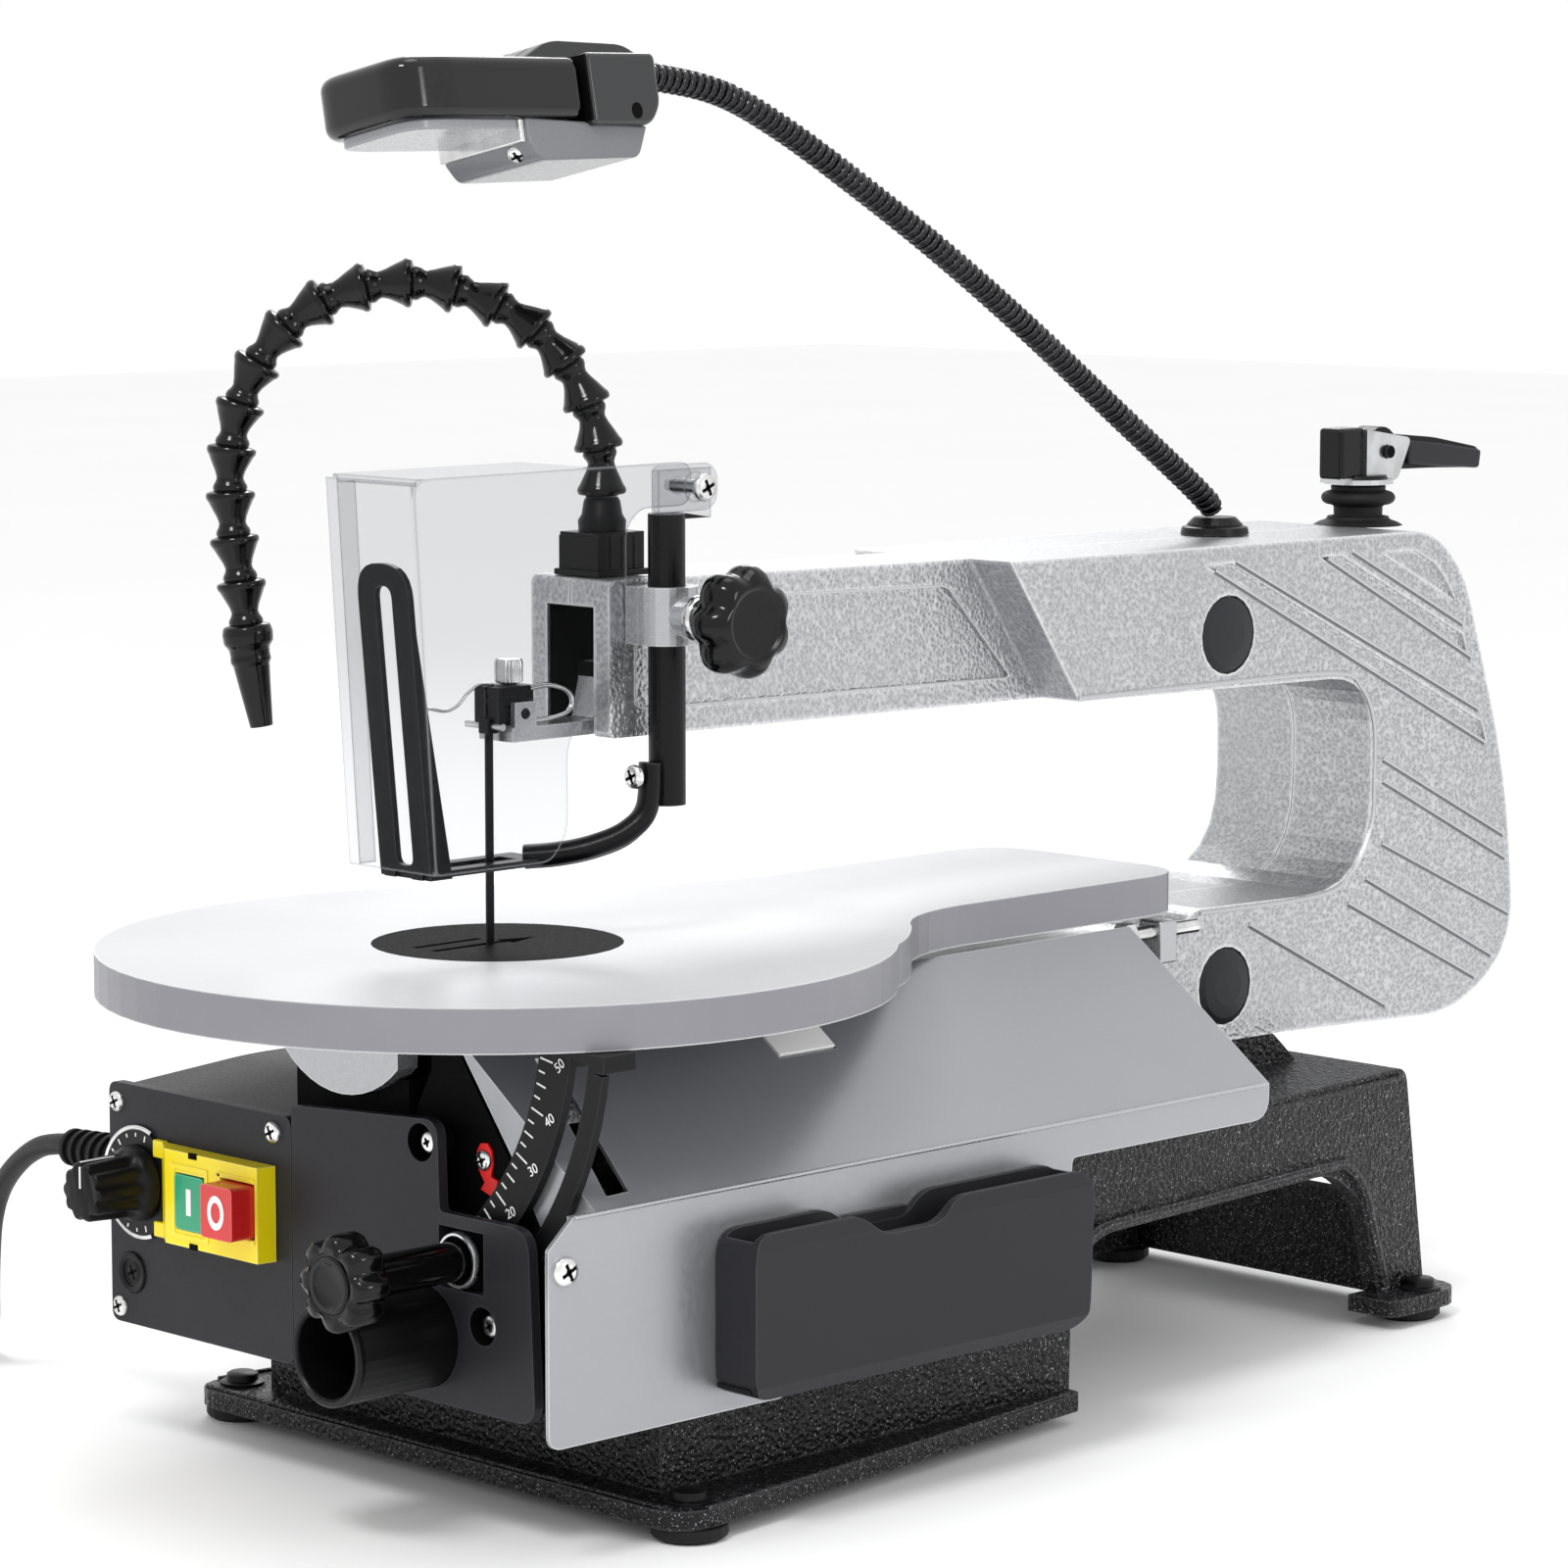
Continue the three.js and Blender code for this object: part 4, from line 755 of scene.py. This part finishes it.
# ---------- switch
OFF_X, OFF_FACE, OFF_Z = -35.3, -84.1, 89.3
OFF_WIDTH, OFF_HEIGHT = 3.2, 4.4
SWITCH_FACE = -74.8
link(block(-60.8, -58.4, -75.85, -75.4, 83.6, 92.2), "on_mark", "button_on", white_ink, smooth=0, bevel=0.15)
ring = lathe((0, 0, 0), "y", [(0.75, -0.14), (0.75, 0.3), (1.25, 0.3), (1.25, -0.14), (0.75, -0.14)], 40)
for vertex in ring.vertices:
    local = vertex.co / MM - SHIFT
    vertex.co = pt(OFF_X + local.x * OFF_WIDTH, OFF_FACE + local.y, OFF_Z + local.z * OFF_HEIGHT)
link(ring, "off_mark", "button_off", white_ink, smooth=30)
SWITCH_RIBS = (
    (-69.2, -67.2, -75.5, 76.8, 98.4), (-51.9, -50.4, -75.5, 76.8, 98.4), (-69.2, -50.4, -75.5, 98, 99.6),
    (-69.2, -50.4, -75.5, 75.6, 77.2), (-45.2, -43.5, -75.7, 78.8, 99.8), (-45.2, -27, -75.7, 98.4, 100),
    (-45.2, -27, -75.7, 78.8, 80.3), (-50.4, -45.2, -75.3, 86.5, 90.5),
)
link(merge([block(x0, x1, face, SWITCH_FACE, z0, z1) for x0, x1, face, z0, z1 in SWITCH_RIBS]),
     "switch_frame_ribs", "frame", yellow, smooth=0, bevel=0.25)
for place, z0, z1 in (("top", 98.5, 104.2), ("bottom", 72.6, 77.6)):
    link(block(-84.4, -79, -70.6, -68.2, z0, z1), f"switch_lug_{place}", "frame", yellow, bevel=0.5)
# Near-black marks on the yellow frame: painted shade in its notches.
link(merge([block(-60, -56, -75.3, -74.6, z0, z1) for z0, z1 in ((102, 103.9), (72.7, 74.6))]),
     "switch_notch_marks", "frame", shade_and_joint_black, smooth=0)

# ---------- front cover, dust port and lock knob
LOCK_AXIS = (62.5, 0, 87)
DUST_PORT_AXIS = (45, 0, 61)
SHIELD = [(28, 100), (28, 124), (37, 141), (37, 150), (48, 150), (73, 117), (86, 99), (108.6, 97),
          (108.6, 42), (28, 42)]
SHADE = [(-27, 122), (-27, 153), (39, 153), (39, 122)]
RECESS = [(52.4, 77.4), (73.2, 77.4), (73.2, 96.6), (52.4, 96.6)]
link(prism("y", SHIELD, -56.9, -55.9), "inner_shield", "frame", shade_and_joint_black, smooth=0)
# A near-black sheet behind the trunnion: painted shade.
link(prism("y", SHADE, -46.8, -46), "trunnion_shade", "frame", shade_and_joint_black, smooth=0)
collar = [(7.2, -67.9), (7.2, -69.4), (7.7, -70), (8.4, -70), (8.8, -69.3), (8.8, -67.9), (7.2, -67.9)]
link(lathe(LOCK_AXIS, "y", collar, 44), "lock_collar", "frame", bright)
# A near-black plate at the back of the lock knob's recess: painted shade.
link(prism("y", RECESS, -64.6, -64), "lock_recess_back", "frame", shade_and_joint_black, smooth=0)
lock_profile = [
    (9.6, -119.4, 0), (10.6, -119.9, 0.3), (13.6, -119.4, 1), (14.9, -117.6, 1), (15, -109.4, 1),
    (13.8, -107.2, 1), (9.5, -105, 0), (6.9, -104, 0), (6.3, -102, 0), (6.1, -62, 0)]
lock = fluted(LOCK_AXIS, "y", lock_profile, 8, 2.7, "lock_knob_grip", "lock_knob", gloss)
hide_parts("lock_knob")
lock_face = [(0, 118.6), (4.2, 118.6), (6.2, 119.4), (7, 120.2), (8.2, 120.2), (8.8, 119.6), (8.8, 119)]
link(lathe(LOCK_AXIS, TOWARDS, lock_face, 40), "lock_knob_face", "lock_knob", gloss)
port_lip = [(13.75, -106.3), (14.2, -106.9), (15.4, -106.9), (16.15, -106.2), (16.15, -104.6), (15.9, -104.2),
            (13.75, -104.2), (13.75, -106.3)]
link(lathe(DUST_PORT_AXIS, "y", port_lip, 64), "dust_port_lip", "frame", black)
pointer = [(60.4, 121.2), (63.4, 121.6), (65.4, 119.4), (65.9, 115.4), (65, 111.4), (68.2, 110.6),
           (66.4, 105), (60.4, 107), (62.2, 109.4), (60.6, 111.4), (58.9, 114.2), (58.8, 118.6)]
link(prism("y", pointer, -57.9, -57), "tilt_pointer", "frame", pointer_red, bevel=0.15)
cross_screw("pointer_screw", (62.3, -57.9, 116.2), TOWARDS, 3.3, "frame", height=1.6)

# ---------- tilt scale marks, on the table's bracket
TILT_CENTRE = Vector((0, -61.25, 168))
SCALE_START, SCALE_SPAN, MARK_STEP = -10, 50, 2.5  # degrees
MARK_INNER, FIGURE_RADIUS = 93, 101.6
MARK_OUTER = (98.4, 95.6, 97, 95.6)  # a long mark, then short, middle and short


def scale_figure(degree):
    """The figure of one long mark, leaning with the scale."""
    angle = radians(SCALE_START - degree)
    curve = bpy.data.curves.new("figure", "FONT")
    curve.body = str(SCALE_SPAN - degree)
    curve.size = 4.4 * MM
    curve.extrude = 0.05 * MM
    curve.align_x, curve.align_y = "CENTER", "CENTER"
    text = bpy.data.objects.new("figure", curve)
    bpy.context.scene.collection.objects.link(text)
    bpy.context.view_layer.update()
    mesh = bpy.data.meshes.new_from_object(text)
    bpy.data.objects.remove(text)
    outward = Vector((cos(angle), 0, sin(angle)))
    upright = Matrix.Rotation(radians(90), 4, "X")
    lean = Matrix.Rotation(-(angle + radians(90)) * 0.55, 4, "Y")
    mesh.transform(Matrix.Translation(pt(*(TILT_CENTRE + outward * FIGURE_RADIUS))) @ lean @ upright)
    return mesh


marks = []
for step in range(23):
    angle = radians(SCALE_START - step * MARK_STEP)
    marks.append(radial_mark(TILT_CENTRE, angle, MARK_INNER, MARK_OUTER[step % 4], 0.27))
figures = [scale_figure(degree) for degree in range(0, SCALE_SPAN + 1, 10)]
link(merge(marks), "scale_marks", "table", white_ink, smooth=0)
link(merge(figures), "scale_figures", "table", white_ink, smooth=0)

# ---------- side panel trim and tool bin
PANEL_SLOPE = Vector((63.5, 0, -46.5)).normalized()
PANEL_OUT = Vector((46.5, 0, 63.5)).normalized()
CLIP_CENTRE = Vector((68, 69, 139.4))


def sloped_plate(centre, half_along, half_y, low, high):
    """A plate on the panel's slanted sheet, from low to high above it."""
    corners = []
    for level in (low, high):
        for s, t in SQUARE:
            across = centre + PANEL_SLOPE * s * half_along + Vector((0, t * half_y, 0))
            corners.append(pt(*(across + PANEL_OUT * level)))
    return mesh_from(corners, BOX_FACES)


clip_body = sloped_plate(CLIP_CENTRE, 6.6, 12.4, -0.9, 0.5)
clip_lip = sloped_plate(CLIP_CENTRE - PANEL_SLOPE * 6.5, 2.6, 7.4, 0.3, 1.5)
link(merge([clip_body, clip_lip]), "panel_clip", "frame", white_ink, bevel=0.3)
bin_lip = prism("x", rounded([(44, 91.6), (74, 91.6), (69, 86.6), (49, 86.6)], 3), 112.6, 114.4)
link(bin_lip, "bin_finger_ledge", "toolbox", dark, bevel=0.3)
link(block(112.5, 126.5, -8.6, 142.4, 46.2, 47.4), "bin_floor_line", "toolbox", black, smooth=0)

# ---------- C-frame ribs and trim
FRAME_SIDE, ARM_SIDE = 36.9, 18.4
RIB_SHARE = 0.955  # how much of each line below its rib takes up
RIBS = [
    ((306.6, 272.4), (467.8, 195.8)), ((318, 275), (463, 209)), ((368, 273), (455.7, 229.7)),
    ((382, 275), (449.5, 243)), ((401, 198), (476, 162)), ((401, 167), (480, 132)), ((382, 147), (460, 110)),
    ((327, 145), (408, 105)), ((401, 190), (477.5, 153)), ((392, 155), (470, 117)),
]
THROAT = [(236, 232.6), (300, 232.4), (372, 231.4), (388, 225), (395.4, 211), (395.9, 190), (394.6, 174),
          (384, 158), (365, 151.3), (300, 151.6)]
ARM_PANEL = rounded([(46, 242), (222, 239.5), (190, 273), (46, 276)], 3, 4)
NOSE_LINER = ((-10.7, -10.4, 36, 62, 237.6, 274.8), (10.4, 10.7, 36, 62, 237.6, 274.8),
              (-10.7, 10.7, 61, 61.6, 266.5, 274.8), (-10.4, 10.4, 36.2, 62, 274.3, 274.8))


def side_line(x, points):
    return [Vector((x, y, z)) for y, z in points]


def frame_side_trim(side, sign):
    """The raised ribs with a dark line under each, a painted shadow of the rib, the throat's rim and the
    arm's panel rim.
    """
    ribs, painted_rib_shadows = [], []
    for (y0, z0), (y1, z1) in RIBS:
        y1, z1 = y0 + (y1 - y0) * RIB_SHARE, z0 + (z1 - z0) * RIB_SHARE
        middle = ((y0 + y1) / 2, (z0 + z1) / 2)
        path = smooth_path(side_line(sign * FRAME_SIDE, ((y0, z0), middle, (y1, z1))), 14)
        ribs.append(tube(path, 0.75, 8))
        painted_rib_shadows.append(tube([point + Vector((sign * -0.15, -0.55, -1)) for point in path], 0.5, 6))
    link(merge(ribs), f"frame_ribs_{side}", "frame", smooth)
    link(merge(painted_rib_shadows), f"frame_painted_rib_shadows_{side}", "frame", rib_painted_shadow)
    throat = smooth_path(side_line(sign * (FRAME_SIDE - 0.1), THROAT), 90)
    link(tube(throat, 1, 8), f"throat_rim_{side}", "frame", smooth)
    loop = side_line(sign * ARM_SIDE, ARM_PANEL + ARM_PANEL[:1])
    link(tube(loop, 0.5, 8), f"arm_panel_rim_{side}", "frame", smooth)


frame_side_trim("left", -1)
frame_side_trim("right", 1)
link(merge([block(*sizes) for sizes in NOSE_LINER]), "nose_liner", "frame", shade_and_joint_black, smooth=0)
link(block(-5.15, 5.15, 43, 43.7, 240.5, 256.2), "arm_end_cover", "upper_arm", shade_and_joint_black, smooth=0)

# ---------- base trim
FLANGE_EDGE = 11.2
ARCH = [(177.5, 53.5), (184, 59.4), (194, 62.8), (240, 63), (322, 63), (336, 61.2), (347, 51), (354, 33),
        (361.5, 13.5)]
BOLT = [(0, 0), (7.4, 0), (7.4, 1), (5.4, 1.6), (5.2, 3.6), (4.2, 4.2), (0, 4.2)]
FRAME_PAD = [(293, 103.2), (336, 103.2), (340, 99.4), (348, 99.4), (352, 95), (293, 95)]
FLANGE_BEADS = {
    "front": [(-112, -27.5), (0, -27.9), (112, -27.5)],
    "right": [(118, -18), (106, 90), (96, 168)],
    "left": [(-118, -18), (-106, 90), (-96, 168)],
}


def bridge_half_width(y):
    """The base's rear bridge narrows from 90.2 mm at y 175 by 20 mm over 213 mm."""
    return 90.2 - (y - 175) * 20 / 213


for number, (x, y) in enumerate(((108, -16), (-108, -16), (76, 378), (-76, 378))):
    link(lathe((x, y, 11), "z", BOLT, 30), f"foot_bolt_{number}", "frame", black)
for name, points in FLANGE_BEADS.items():
    bead = [Vector((x, y, FLANGE_EDGE)) for x, y in points]
    link(tube(bead, 0.9, 8), f"flange_bead_{name}", "frame", cast_black)
for sign, side in ((-1, "left"), (1, "right")):
    bead = [Vector((sign * 88, 182, 88.6)), Vector((sign * 72.2, 370, 88.6))]
    link(tube(bead, 1.1, 8), f"bridge_bead_{side}", "frame", cast_black)
    arch = [Vector((sign * bridge_half_width(y), y, z)) for y, z in ARCH]
    link(tube(smooth_path(arch, 60), 2.3, 8), f"arch_lip_{side}", "frame", lip_black)
link(prism("x", rounded(FRAME_PAD, 1), -30, 30), "frame_pad", "frame", black, bevel=0.5)

# ---------- stop screw
STOP_AXIS = (43, 0, 149)
stop_head = lathe(STOP_AXIS, "y", [(0, 252), (5.2, 252), (5.2, 256.5), (0, 256.5)], 6)
link(merge([rod(STOP_AXIS, "y", 256, 291, 2.6, 20), stop_head]), "stop_screw", "frame", chrome, bevel=0.3)
link(block(36.5, 47, 268, 277, 138, 153), "stop_lug", "frame", smooth, bevel=1)

# ---------- blade clamps
CLAMP_Y = 8.5
CLAMP_LOOP = [(5.9, 12, 250.6), (6.2, 20, 251), (6.3, 27, 249), (6.3, 30, 245.6), (6.3, 28, 242),
              (6.2, 20, 240.3), (5.9, 12, 240.2)]
SPRING_WIRE = [(0, -31, 245.4), (0, -25, 246.2), (0, -18, 245), (0, -13, 246.4), (0, -9, 249.8),
               (0, -4, 252.2), (0, 2, 252)]
for name, points, radius in (("clamp_loop", CLAMP_LOOP, 0.9), ("spring_wire", SPRING_WIRE, 0.55)):
    link(tube(smooth_path(points, 48), radius, 10), name, "blade", chrome, smooth=60)
link(rod((0, -0.4, 239), "x", -10, 7.4, 1.1, 16), "blade_hook_pin", "blade", bright)
link(block(-2.4, 2.4, -2.4, 2.2, 236.6, 241.6), "blade_hook", "blade", blackened, bevel=0.4)
thumb_profile = [(2.6, 251.7, 0), (3, 251.9, 0), (4.5, 252.4, 1), (4.6, 253.2, 1), (4.6, 258.8, 1),
                 (4.1, 259.8, 0.6), (3.2, 260, 0)]
screw = fluted((0, CLAMP_Y, 0), "z", thumb_profile, 22, 0.45, "thumb_screw_grip", "thumb_screw_upper",
               screw_metal, 132)
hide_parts("thumb_screw_upper")
link(rod((0, CLAMP_Y, 119.2), "x", -7.6, 7.6, 1.5, 14), "lower_clamp_pin", "blade", bright)

# ---------- hold-down clamp and star knob
STAR_AXIS = (0, 51, 272.5)
boss_ring = [(3.5, 42.6), (3.5, 45.4), (6.8, 45.4), (7.4, 44.6), (7.4, 42.6), (3.5, 42.6)]
link(lathe(STAR_AXIS, "x", boss_ring, 40), "clamp_boss_ring", "frame", chrome)
thread_line = [Vector((43.4 + 0.25 * i, 51, 272.5)) for i in range(41)]
thread = tube(thread_line, lambda travelled, _angle: 3.05 + 0.35 * sin(travelled * 5), 24)
link(thread, "star_knob_thread", "star_knob", bright)
star_profile = [
    (5.4, 51.6, 0), (6.2, 52.2, 0), (11.5, 53.6, 0.3), (15.4, 55.2, 0.8), (17.6, 57.6, 1), (18.3, 61, 1),
    (18, 64.4, 1), (16.6, 67.2, 0.9), (14.4, 69, 0.6), (12.4, 69.7, 0.2), (11.2, 69.6, 0),
    (10.4, 68.9, 0), (6, 68.7, 0)]
star = fluted(STAR_AXIS, "x", star_profile, 7, 2.5, "star_knob_grip", "star_knob", gloss, 168)
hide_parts("star_knob")
star_face = [(0, 68.9), (6, 68.8), (10.4, 68.9), (10.7, 68.5), (0, 68.2)]
link(lathe(STAR_AXIS, "x", star_face, 48), "star_knob_face", "star_knob", gloss)

# ---------- tension knob, neck and cam
TENSION_AXIS = (0, 430, 0)
NECK_PROFILE = [(9.95, 279.6), (16.5, 279.9), (14.6, 281), (12.2, 281.8), (11.4, 282.6), (11.3, 283.1),
                (9.95, 283.1), (9.95, 279.6)]
CAM_SEAT = [(0, 297), (11, 297), (10.2, 298.4), (0, 298.4)]
CAM_LEVER = [(452, 301.6), (470, 300), (494.4, 298.2), (495.6, 305.2), (470, 308.8), (452, 310.6)]


def bellows_profile():
    """A knob with one round bulge between two flat ends."""
    profile = [(3.6, 281.6), (8.9, 281.6), (9.1, 286.8), (10.4, 287.6)]
    for i in range(13):
        angle = radians(-70 + i * 140 / 12)
        profile.append((10.6 + 3.1 * cos(angle), 290 + 2.5 * sin(angle)))
    return profile + [(10, 292.8), (10.2, 294.2), (9.6, 294.8), (3.6, 294.8), (3.6, 281.6)]


link(lathe(TENSION_AXIS, "z", NECK_PROFILE, 56), "tension_neck", "frame", rubber)
bellows = link(lathe(TENSION_AXIS, "z", bellows_profile(), 56), "tension_knob_ring", "tension_knob", rubber)
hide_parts("tension_knob")
cam_cover = block(-5.6, 5.6, 413.2, 427.2, 297.2, 316.2)
link(cam_cover, "cam_block_cover", "tension_rod", gloss, bevel=1.6, segments=4)
link(lathe(TENSION_AXIS, "z", CAM_SEAT, 40), "cam_seat", "tension_rod", black)
link(rod((0, 437.7, 306.9), "x", -9.2, 9.2, 2.2, 20), "cam_pin_ends", "cam_lever", shade_and_joint_black)
link(prism("x", rounded(CAM_LEVER, 1.6), -6.2, 6.2), "cam_grip", "cam_lever", dark, bevel=1)

# ---------- hose and nozzle
HOSE_Y = 49
HOSE_TURN = radians(45.4)
HOSE_LINKS = 17
HOSE_ARC = [(0, 309.3), (0.5, 322), (4, 337), (11, 351), (22, 363), (36, 371.5), (52, 376.5), (68, 377),
            (84, 373.5), (98, 365.5), (109, 353), (116, 337), (119, 319), (118.5, 300), (116, 281),
            (114.5, 268)]
BELL = [(0, 5.3), (0.04, 7.5), (0.10, 8), (0.17, 7.9), (0.24, 7.2), (0.58, 4.9), (0.72, 4.3), (0.80, 4.6),
        (0.88, 5.4), (0.96, 5.6), (1, 5.3)]
NOZZLE = [(0, 5.2), (0.02, 7.6), (0.09, 8.2), (0.18, 8), (0.24, 6.6), (0.30, 6.4), (0.36, 6.6),
          (0.40, 5.9), (0.95, 3.9), (1, 3.7)]
COLLAR = [(5.4, 298), (7.6, 298), (7.8, 301.5), (6.6, 303.5), (5.9, 307.8), (5.4, 308.6), (5.4, 298)]


def hose_line(points, steps):
    """A smooth line through (reach, z) points, in the upright plane that the hose bends in."""
    path = [(-reach * cos(HOSE_TURN), HOSE_Y - reach * sin(HOSE_TURN), z) for reach, z in points]
    return smooth_path(path, steps)


def radius_at(profile, share):
    for (a, ra), (b, rb) in zip(profile, profile[1:]):
        if a <= share <= b:
            return ra + (rb - ra) * (share - a) / (b - a)
    return profile[-1][1]


links_line = hose_line(HOSE_ARC, HOSE_LINKS * 22)
links_length = line_length(links_line)


def bell_radius(travelled, _angle):
    """One bell after another, with the last one whole."""
    whole = travelled >= links_length - 1e-4
    return radius_at(BELL, 1 if whole else (travelled / links_length * HOSE_LINKS) % 1)


hose = link(tube(links_line, bell_radius, 28), "hose_links", "air_hose", gloss, smooth=38)
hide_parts("air_hose")
nozzle_line = hose_line(((114.5, 268.2), (113, 255), (110, 235)), 60)
nozzle_length = line_length(nozzle_line)


def nozzle_radius(travelled, _angle):
    return radius_at(NOZZLE, min(travelled / nozzle_length, 1))


nozzle = link(tube(nozzle_line, nozzle_radius, 32), "hose_nozzle_tip", "air_hose", gloss, smooth=38)
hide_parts("hose_nozzle")
link(lathe((0, HOSE_Y, 0), "z", COLLAR, 40), "hose_collar", "frame", black)
base_ribs = [block(-9.4, 9.4, 38.6 + 5.2 * i, 40.2 + 5.2 * i, 286, 297) for i in range(4)]
link(merge(base_ribs), "hose_base_ribs", "frame", black, bevel=0.4)
link(block(-10.6, 10.6, 37.4, 60.4, 284.1, 286.2), "hose_base_plate", "frame", black, bevel=0.6)

# ---------- gooseneck
NECK_PITCH = 3.3
RIDGE_RADIUS, RIDGE_STEPS = 4.05, 12  # steps to a turn
NECK = [(347.5, 290.6), (334, 300.5), (296, 326), (252, 355.5), (209, 382.5), (168, 406), (128, 427),
        (98, 438.5), (62, 443.5), (50, 444.2)]
NECK_FLANGE = [(0, 281), (12.4, 281), (11.8, 283.4), (9.4, 284.2), (8.6, 286), (7.2, 286.9), (0, 286.9)]
neck_line = smooth_path(side_line(0, NECK), 900)


def neck_radius(travelled, angle):
    return 3.9 + 0.1 * sin(travelled / NECK_PITCH * 2 * pi - angle)


def ridge_path():
    """A helix round the neck, one turn to each pitch."""
    path = []
    count = int(line_length(neck_line) / NECK_PITCH * RIDGE_STEPS)
    for i in range(count):
        place = i / count * (len(neck_line) - 1)
        k = int(place)
        centre = neck_line[k].lerp(neck_line[k + 1], place - k)
        upward = AXES["x"].cross((neck_line[k + 1] - neck_line[k]).normalized())
        angle = 2 * pi * i / RIDGE_STEPS
        path.append(round_point(centre, AXES["x"], upward, RIDGE_RADIUS, angle))
    return path


neck = link(tube(neck_line, neck_radius, 18), "gooseneck", "lamp_neck", gloss, smooth=60)
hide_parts("lamp_neck")
# The ridge wire's lighter metal is a painted highlight along the neck's ridges.
link(tube(ridge_path(), 0.62, 6), "gooseneck_ridge", "lamp_neck", ridge_painted_highlight, smooth=60)
link(lathe((0, 349, 0), "z", NECK_FLANGE, 44), "neck_flange", "frame", black)

# ---------- lamp
LAMP_ROLL, LAMP_SHORTEN = radians(-11), 0.83
LAMP_PLACE = (Matrix.Translation(pt(0, 0.5, 435.2)) @ Matrix.Rotation(LAMP_ROLL, 4, "Y")
              @ Matrix.Diagonal((1, LAMP_SHORTEN, 1, 1)) @ Matrix.Translation(-pt(0, 0, 438)))
LAMP_SLAB = [(-22.5, 26.4, 0), (-23.5, -40, 2), (-21.5, -63.4, 22), (21.5, -63.4, 22), (23.5, -40, 2),
             (22.5, 26.4, 0)]
LAMP_REAR = [(27.2, 425.6, 0), (58, 425.6, 5), (63.4, 432, 3), (63.4, 448.6, 3), (27.2, 448.6, 0)]
HUMP_SIDE = [(3, 446.4, 0), (10, 449.5, 6), (22, 454.6, 9), (60, 453.6, 6), (68, 450, 3), (66, 437.5, 3),
             (50, 437.5, 0), (3, 440, 0)]
HUMP_TOP = [(3, 446.6, 0), (10, 449.7, 6), (22, 454.5, 9), (52.4, 453.9, 1), (52.4, 441, 0), (3, 441, 0)]
UNDERSIDE = [(-4, 421.6, 2), (2, 415, 3), (52, 415.8, 3), (58, 425.8, 0), (-4, 428.6, 0)]
LENS = [(-18.5, -5.4, 1), (-19.5, -40, 2), (-17.5, -58.4, 18), (17.5, -58.4, 18), (19.5, -40, 2),
        (18.5, -5.4, 1)]


def lamp_part(mesh, name, material, bevel=0, segments=2):
    """A piece of the lamp head, rolled the way the head hangs."""
    mesh.transform(LAMP_PLACE)
    return link(mesh, name, "lamp_head", material, bevel=bevel, segments=segments)


head = lamp_part(prism("z", rounded(LAMP_SLAB, 10, 12), 428, 447.6), "lamp_slab", lamp_gloss, 4.2, 5)
# The rear block and hump take the lamp's painted reflection grey.
lamp_part(prism("x", rounded(LAMP_REAR, 3), -23.6, 23.6), "lamp_rear", lamp_painted_reflection, 2.4, 4)
hump_parts = [prism("x", rounded(HUMP_SIDE, 4), low, high) for low, high in ((5.3, 12), (-12, -5.3))]
hump_parts.append(prism("x", rounded(HUMP_TOP, 4), -5.4, 5.4))
lamp_part(merge(hump_parts), "lamp_hump", lamp_painted_reflection, 1.6, 3)
lamp_part(block(-23.6, 23.6, 26.3, 27.3, 427, 447.8), "lamp_seam", shade_and_joint_black)
lamp_part(prism("x", rounded(UNDERSIDE, 2), -20.5, 20.5), "lamp_underside", lamp_grey, 1, 3)
lens_plate = prism("z", rounded(LENS, 8, 10), 425.2, 428.6)
lens_obj = lamp_part(lens_plate, "lamp_lens_plate", lens_material, 0.9, 3)
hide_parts("lamp_head")
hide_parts("lamp_lens")
lamp_part(block(-19.5, 19.5, -6.4, -3.6, 421, 428.4), "lamp_lens_bar", chrome, 0.6)
cross_screw("lamp_screw", (14.5, 1, 419), (0.45, -0.6, -0.66), 3.4, "lamp_head", chrome, 2.6)
# A near-black disc for the lamp's rear hole: painted shade.
rear_hole = lathe((0, 50, 430), "x", [(0, 23.2), (2.6, 23.2), (2.6, 23.8), (0, 23.8)], 20)
lamp_part(rear_hole, "lamp_rear_hole", shade_and_joint_black)

# ---------- panel bend highlight, drop foot band and guard tab
BAND_HALF_WIDTH, BAND_HALF_THICKNESS = 5.2, 3.7
CLEAR_FROM = 305.2  # the rod's clear tab starts at this height
FOOT_ARM = [(2, 13, 196.4), (10, 20, 197.4), (18, 28, 199.8), (25, 36, 204.3), (28, 42, 211.5),
            (28, 43.6, 226)]


def band_radius(_travelled, angle):
    """An oval section."""
    wide, thick = cos(angle) / BAND_HALF_WIDTH, sin(angle) / BAND_HALF_THICKNESS
    return 1 / sqrt(wide ** 2 + thick ** 2)


# A lighter tube along the side panel's bend: a painted highlight.
bend_highlight_line = [Vector((112.1, y, 107)) for y in (-66.5, 40, 148, 247)]
link(tube(bend_highlight_line, 0.75, 10), "panel_bend_highlight", "frame", smooth)
link(tube(smooth_path(FOOT_ARM, 40), band_radius, 28), "foot_band", "drop_foot", blackened, smooth=50)
rod_node = nodes["hold_down_rod"]
rod_node.data.materials.append(clear)
for polygon in rod_node.data.polygons:
    if (rod_node.matrix_world @ polygon.center).z / MM - SHIFT.z > CLEAR_FROM:
        polygon.material_index = 1
tab_shape = rounded([(40, 305.6, 3), (68.6, 305.6, 7), (68.6, 321, 7), (40, 321, 3)], 4, 8)
link(prism("x", tab_shape, 32.6, 33.4), "guard_tab", "hold_down_rod", clear, bevel=0.4)
link(rod((0, 62, 313), "x", 20, 33, 2.4, 20), "guard_pivot_shaft", "hold_down_rod", bright)
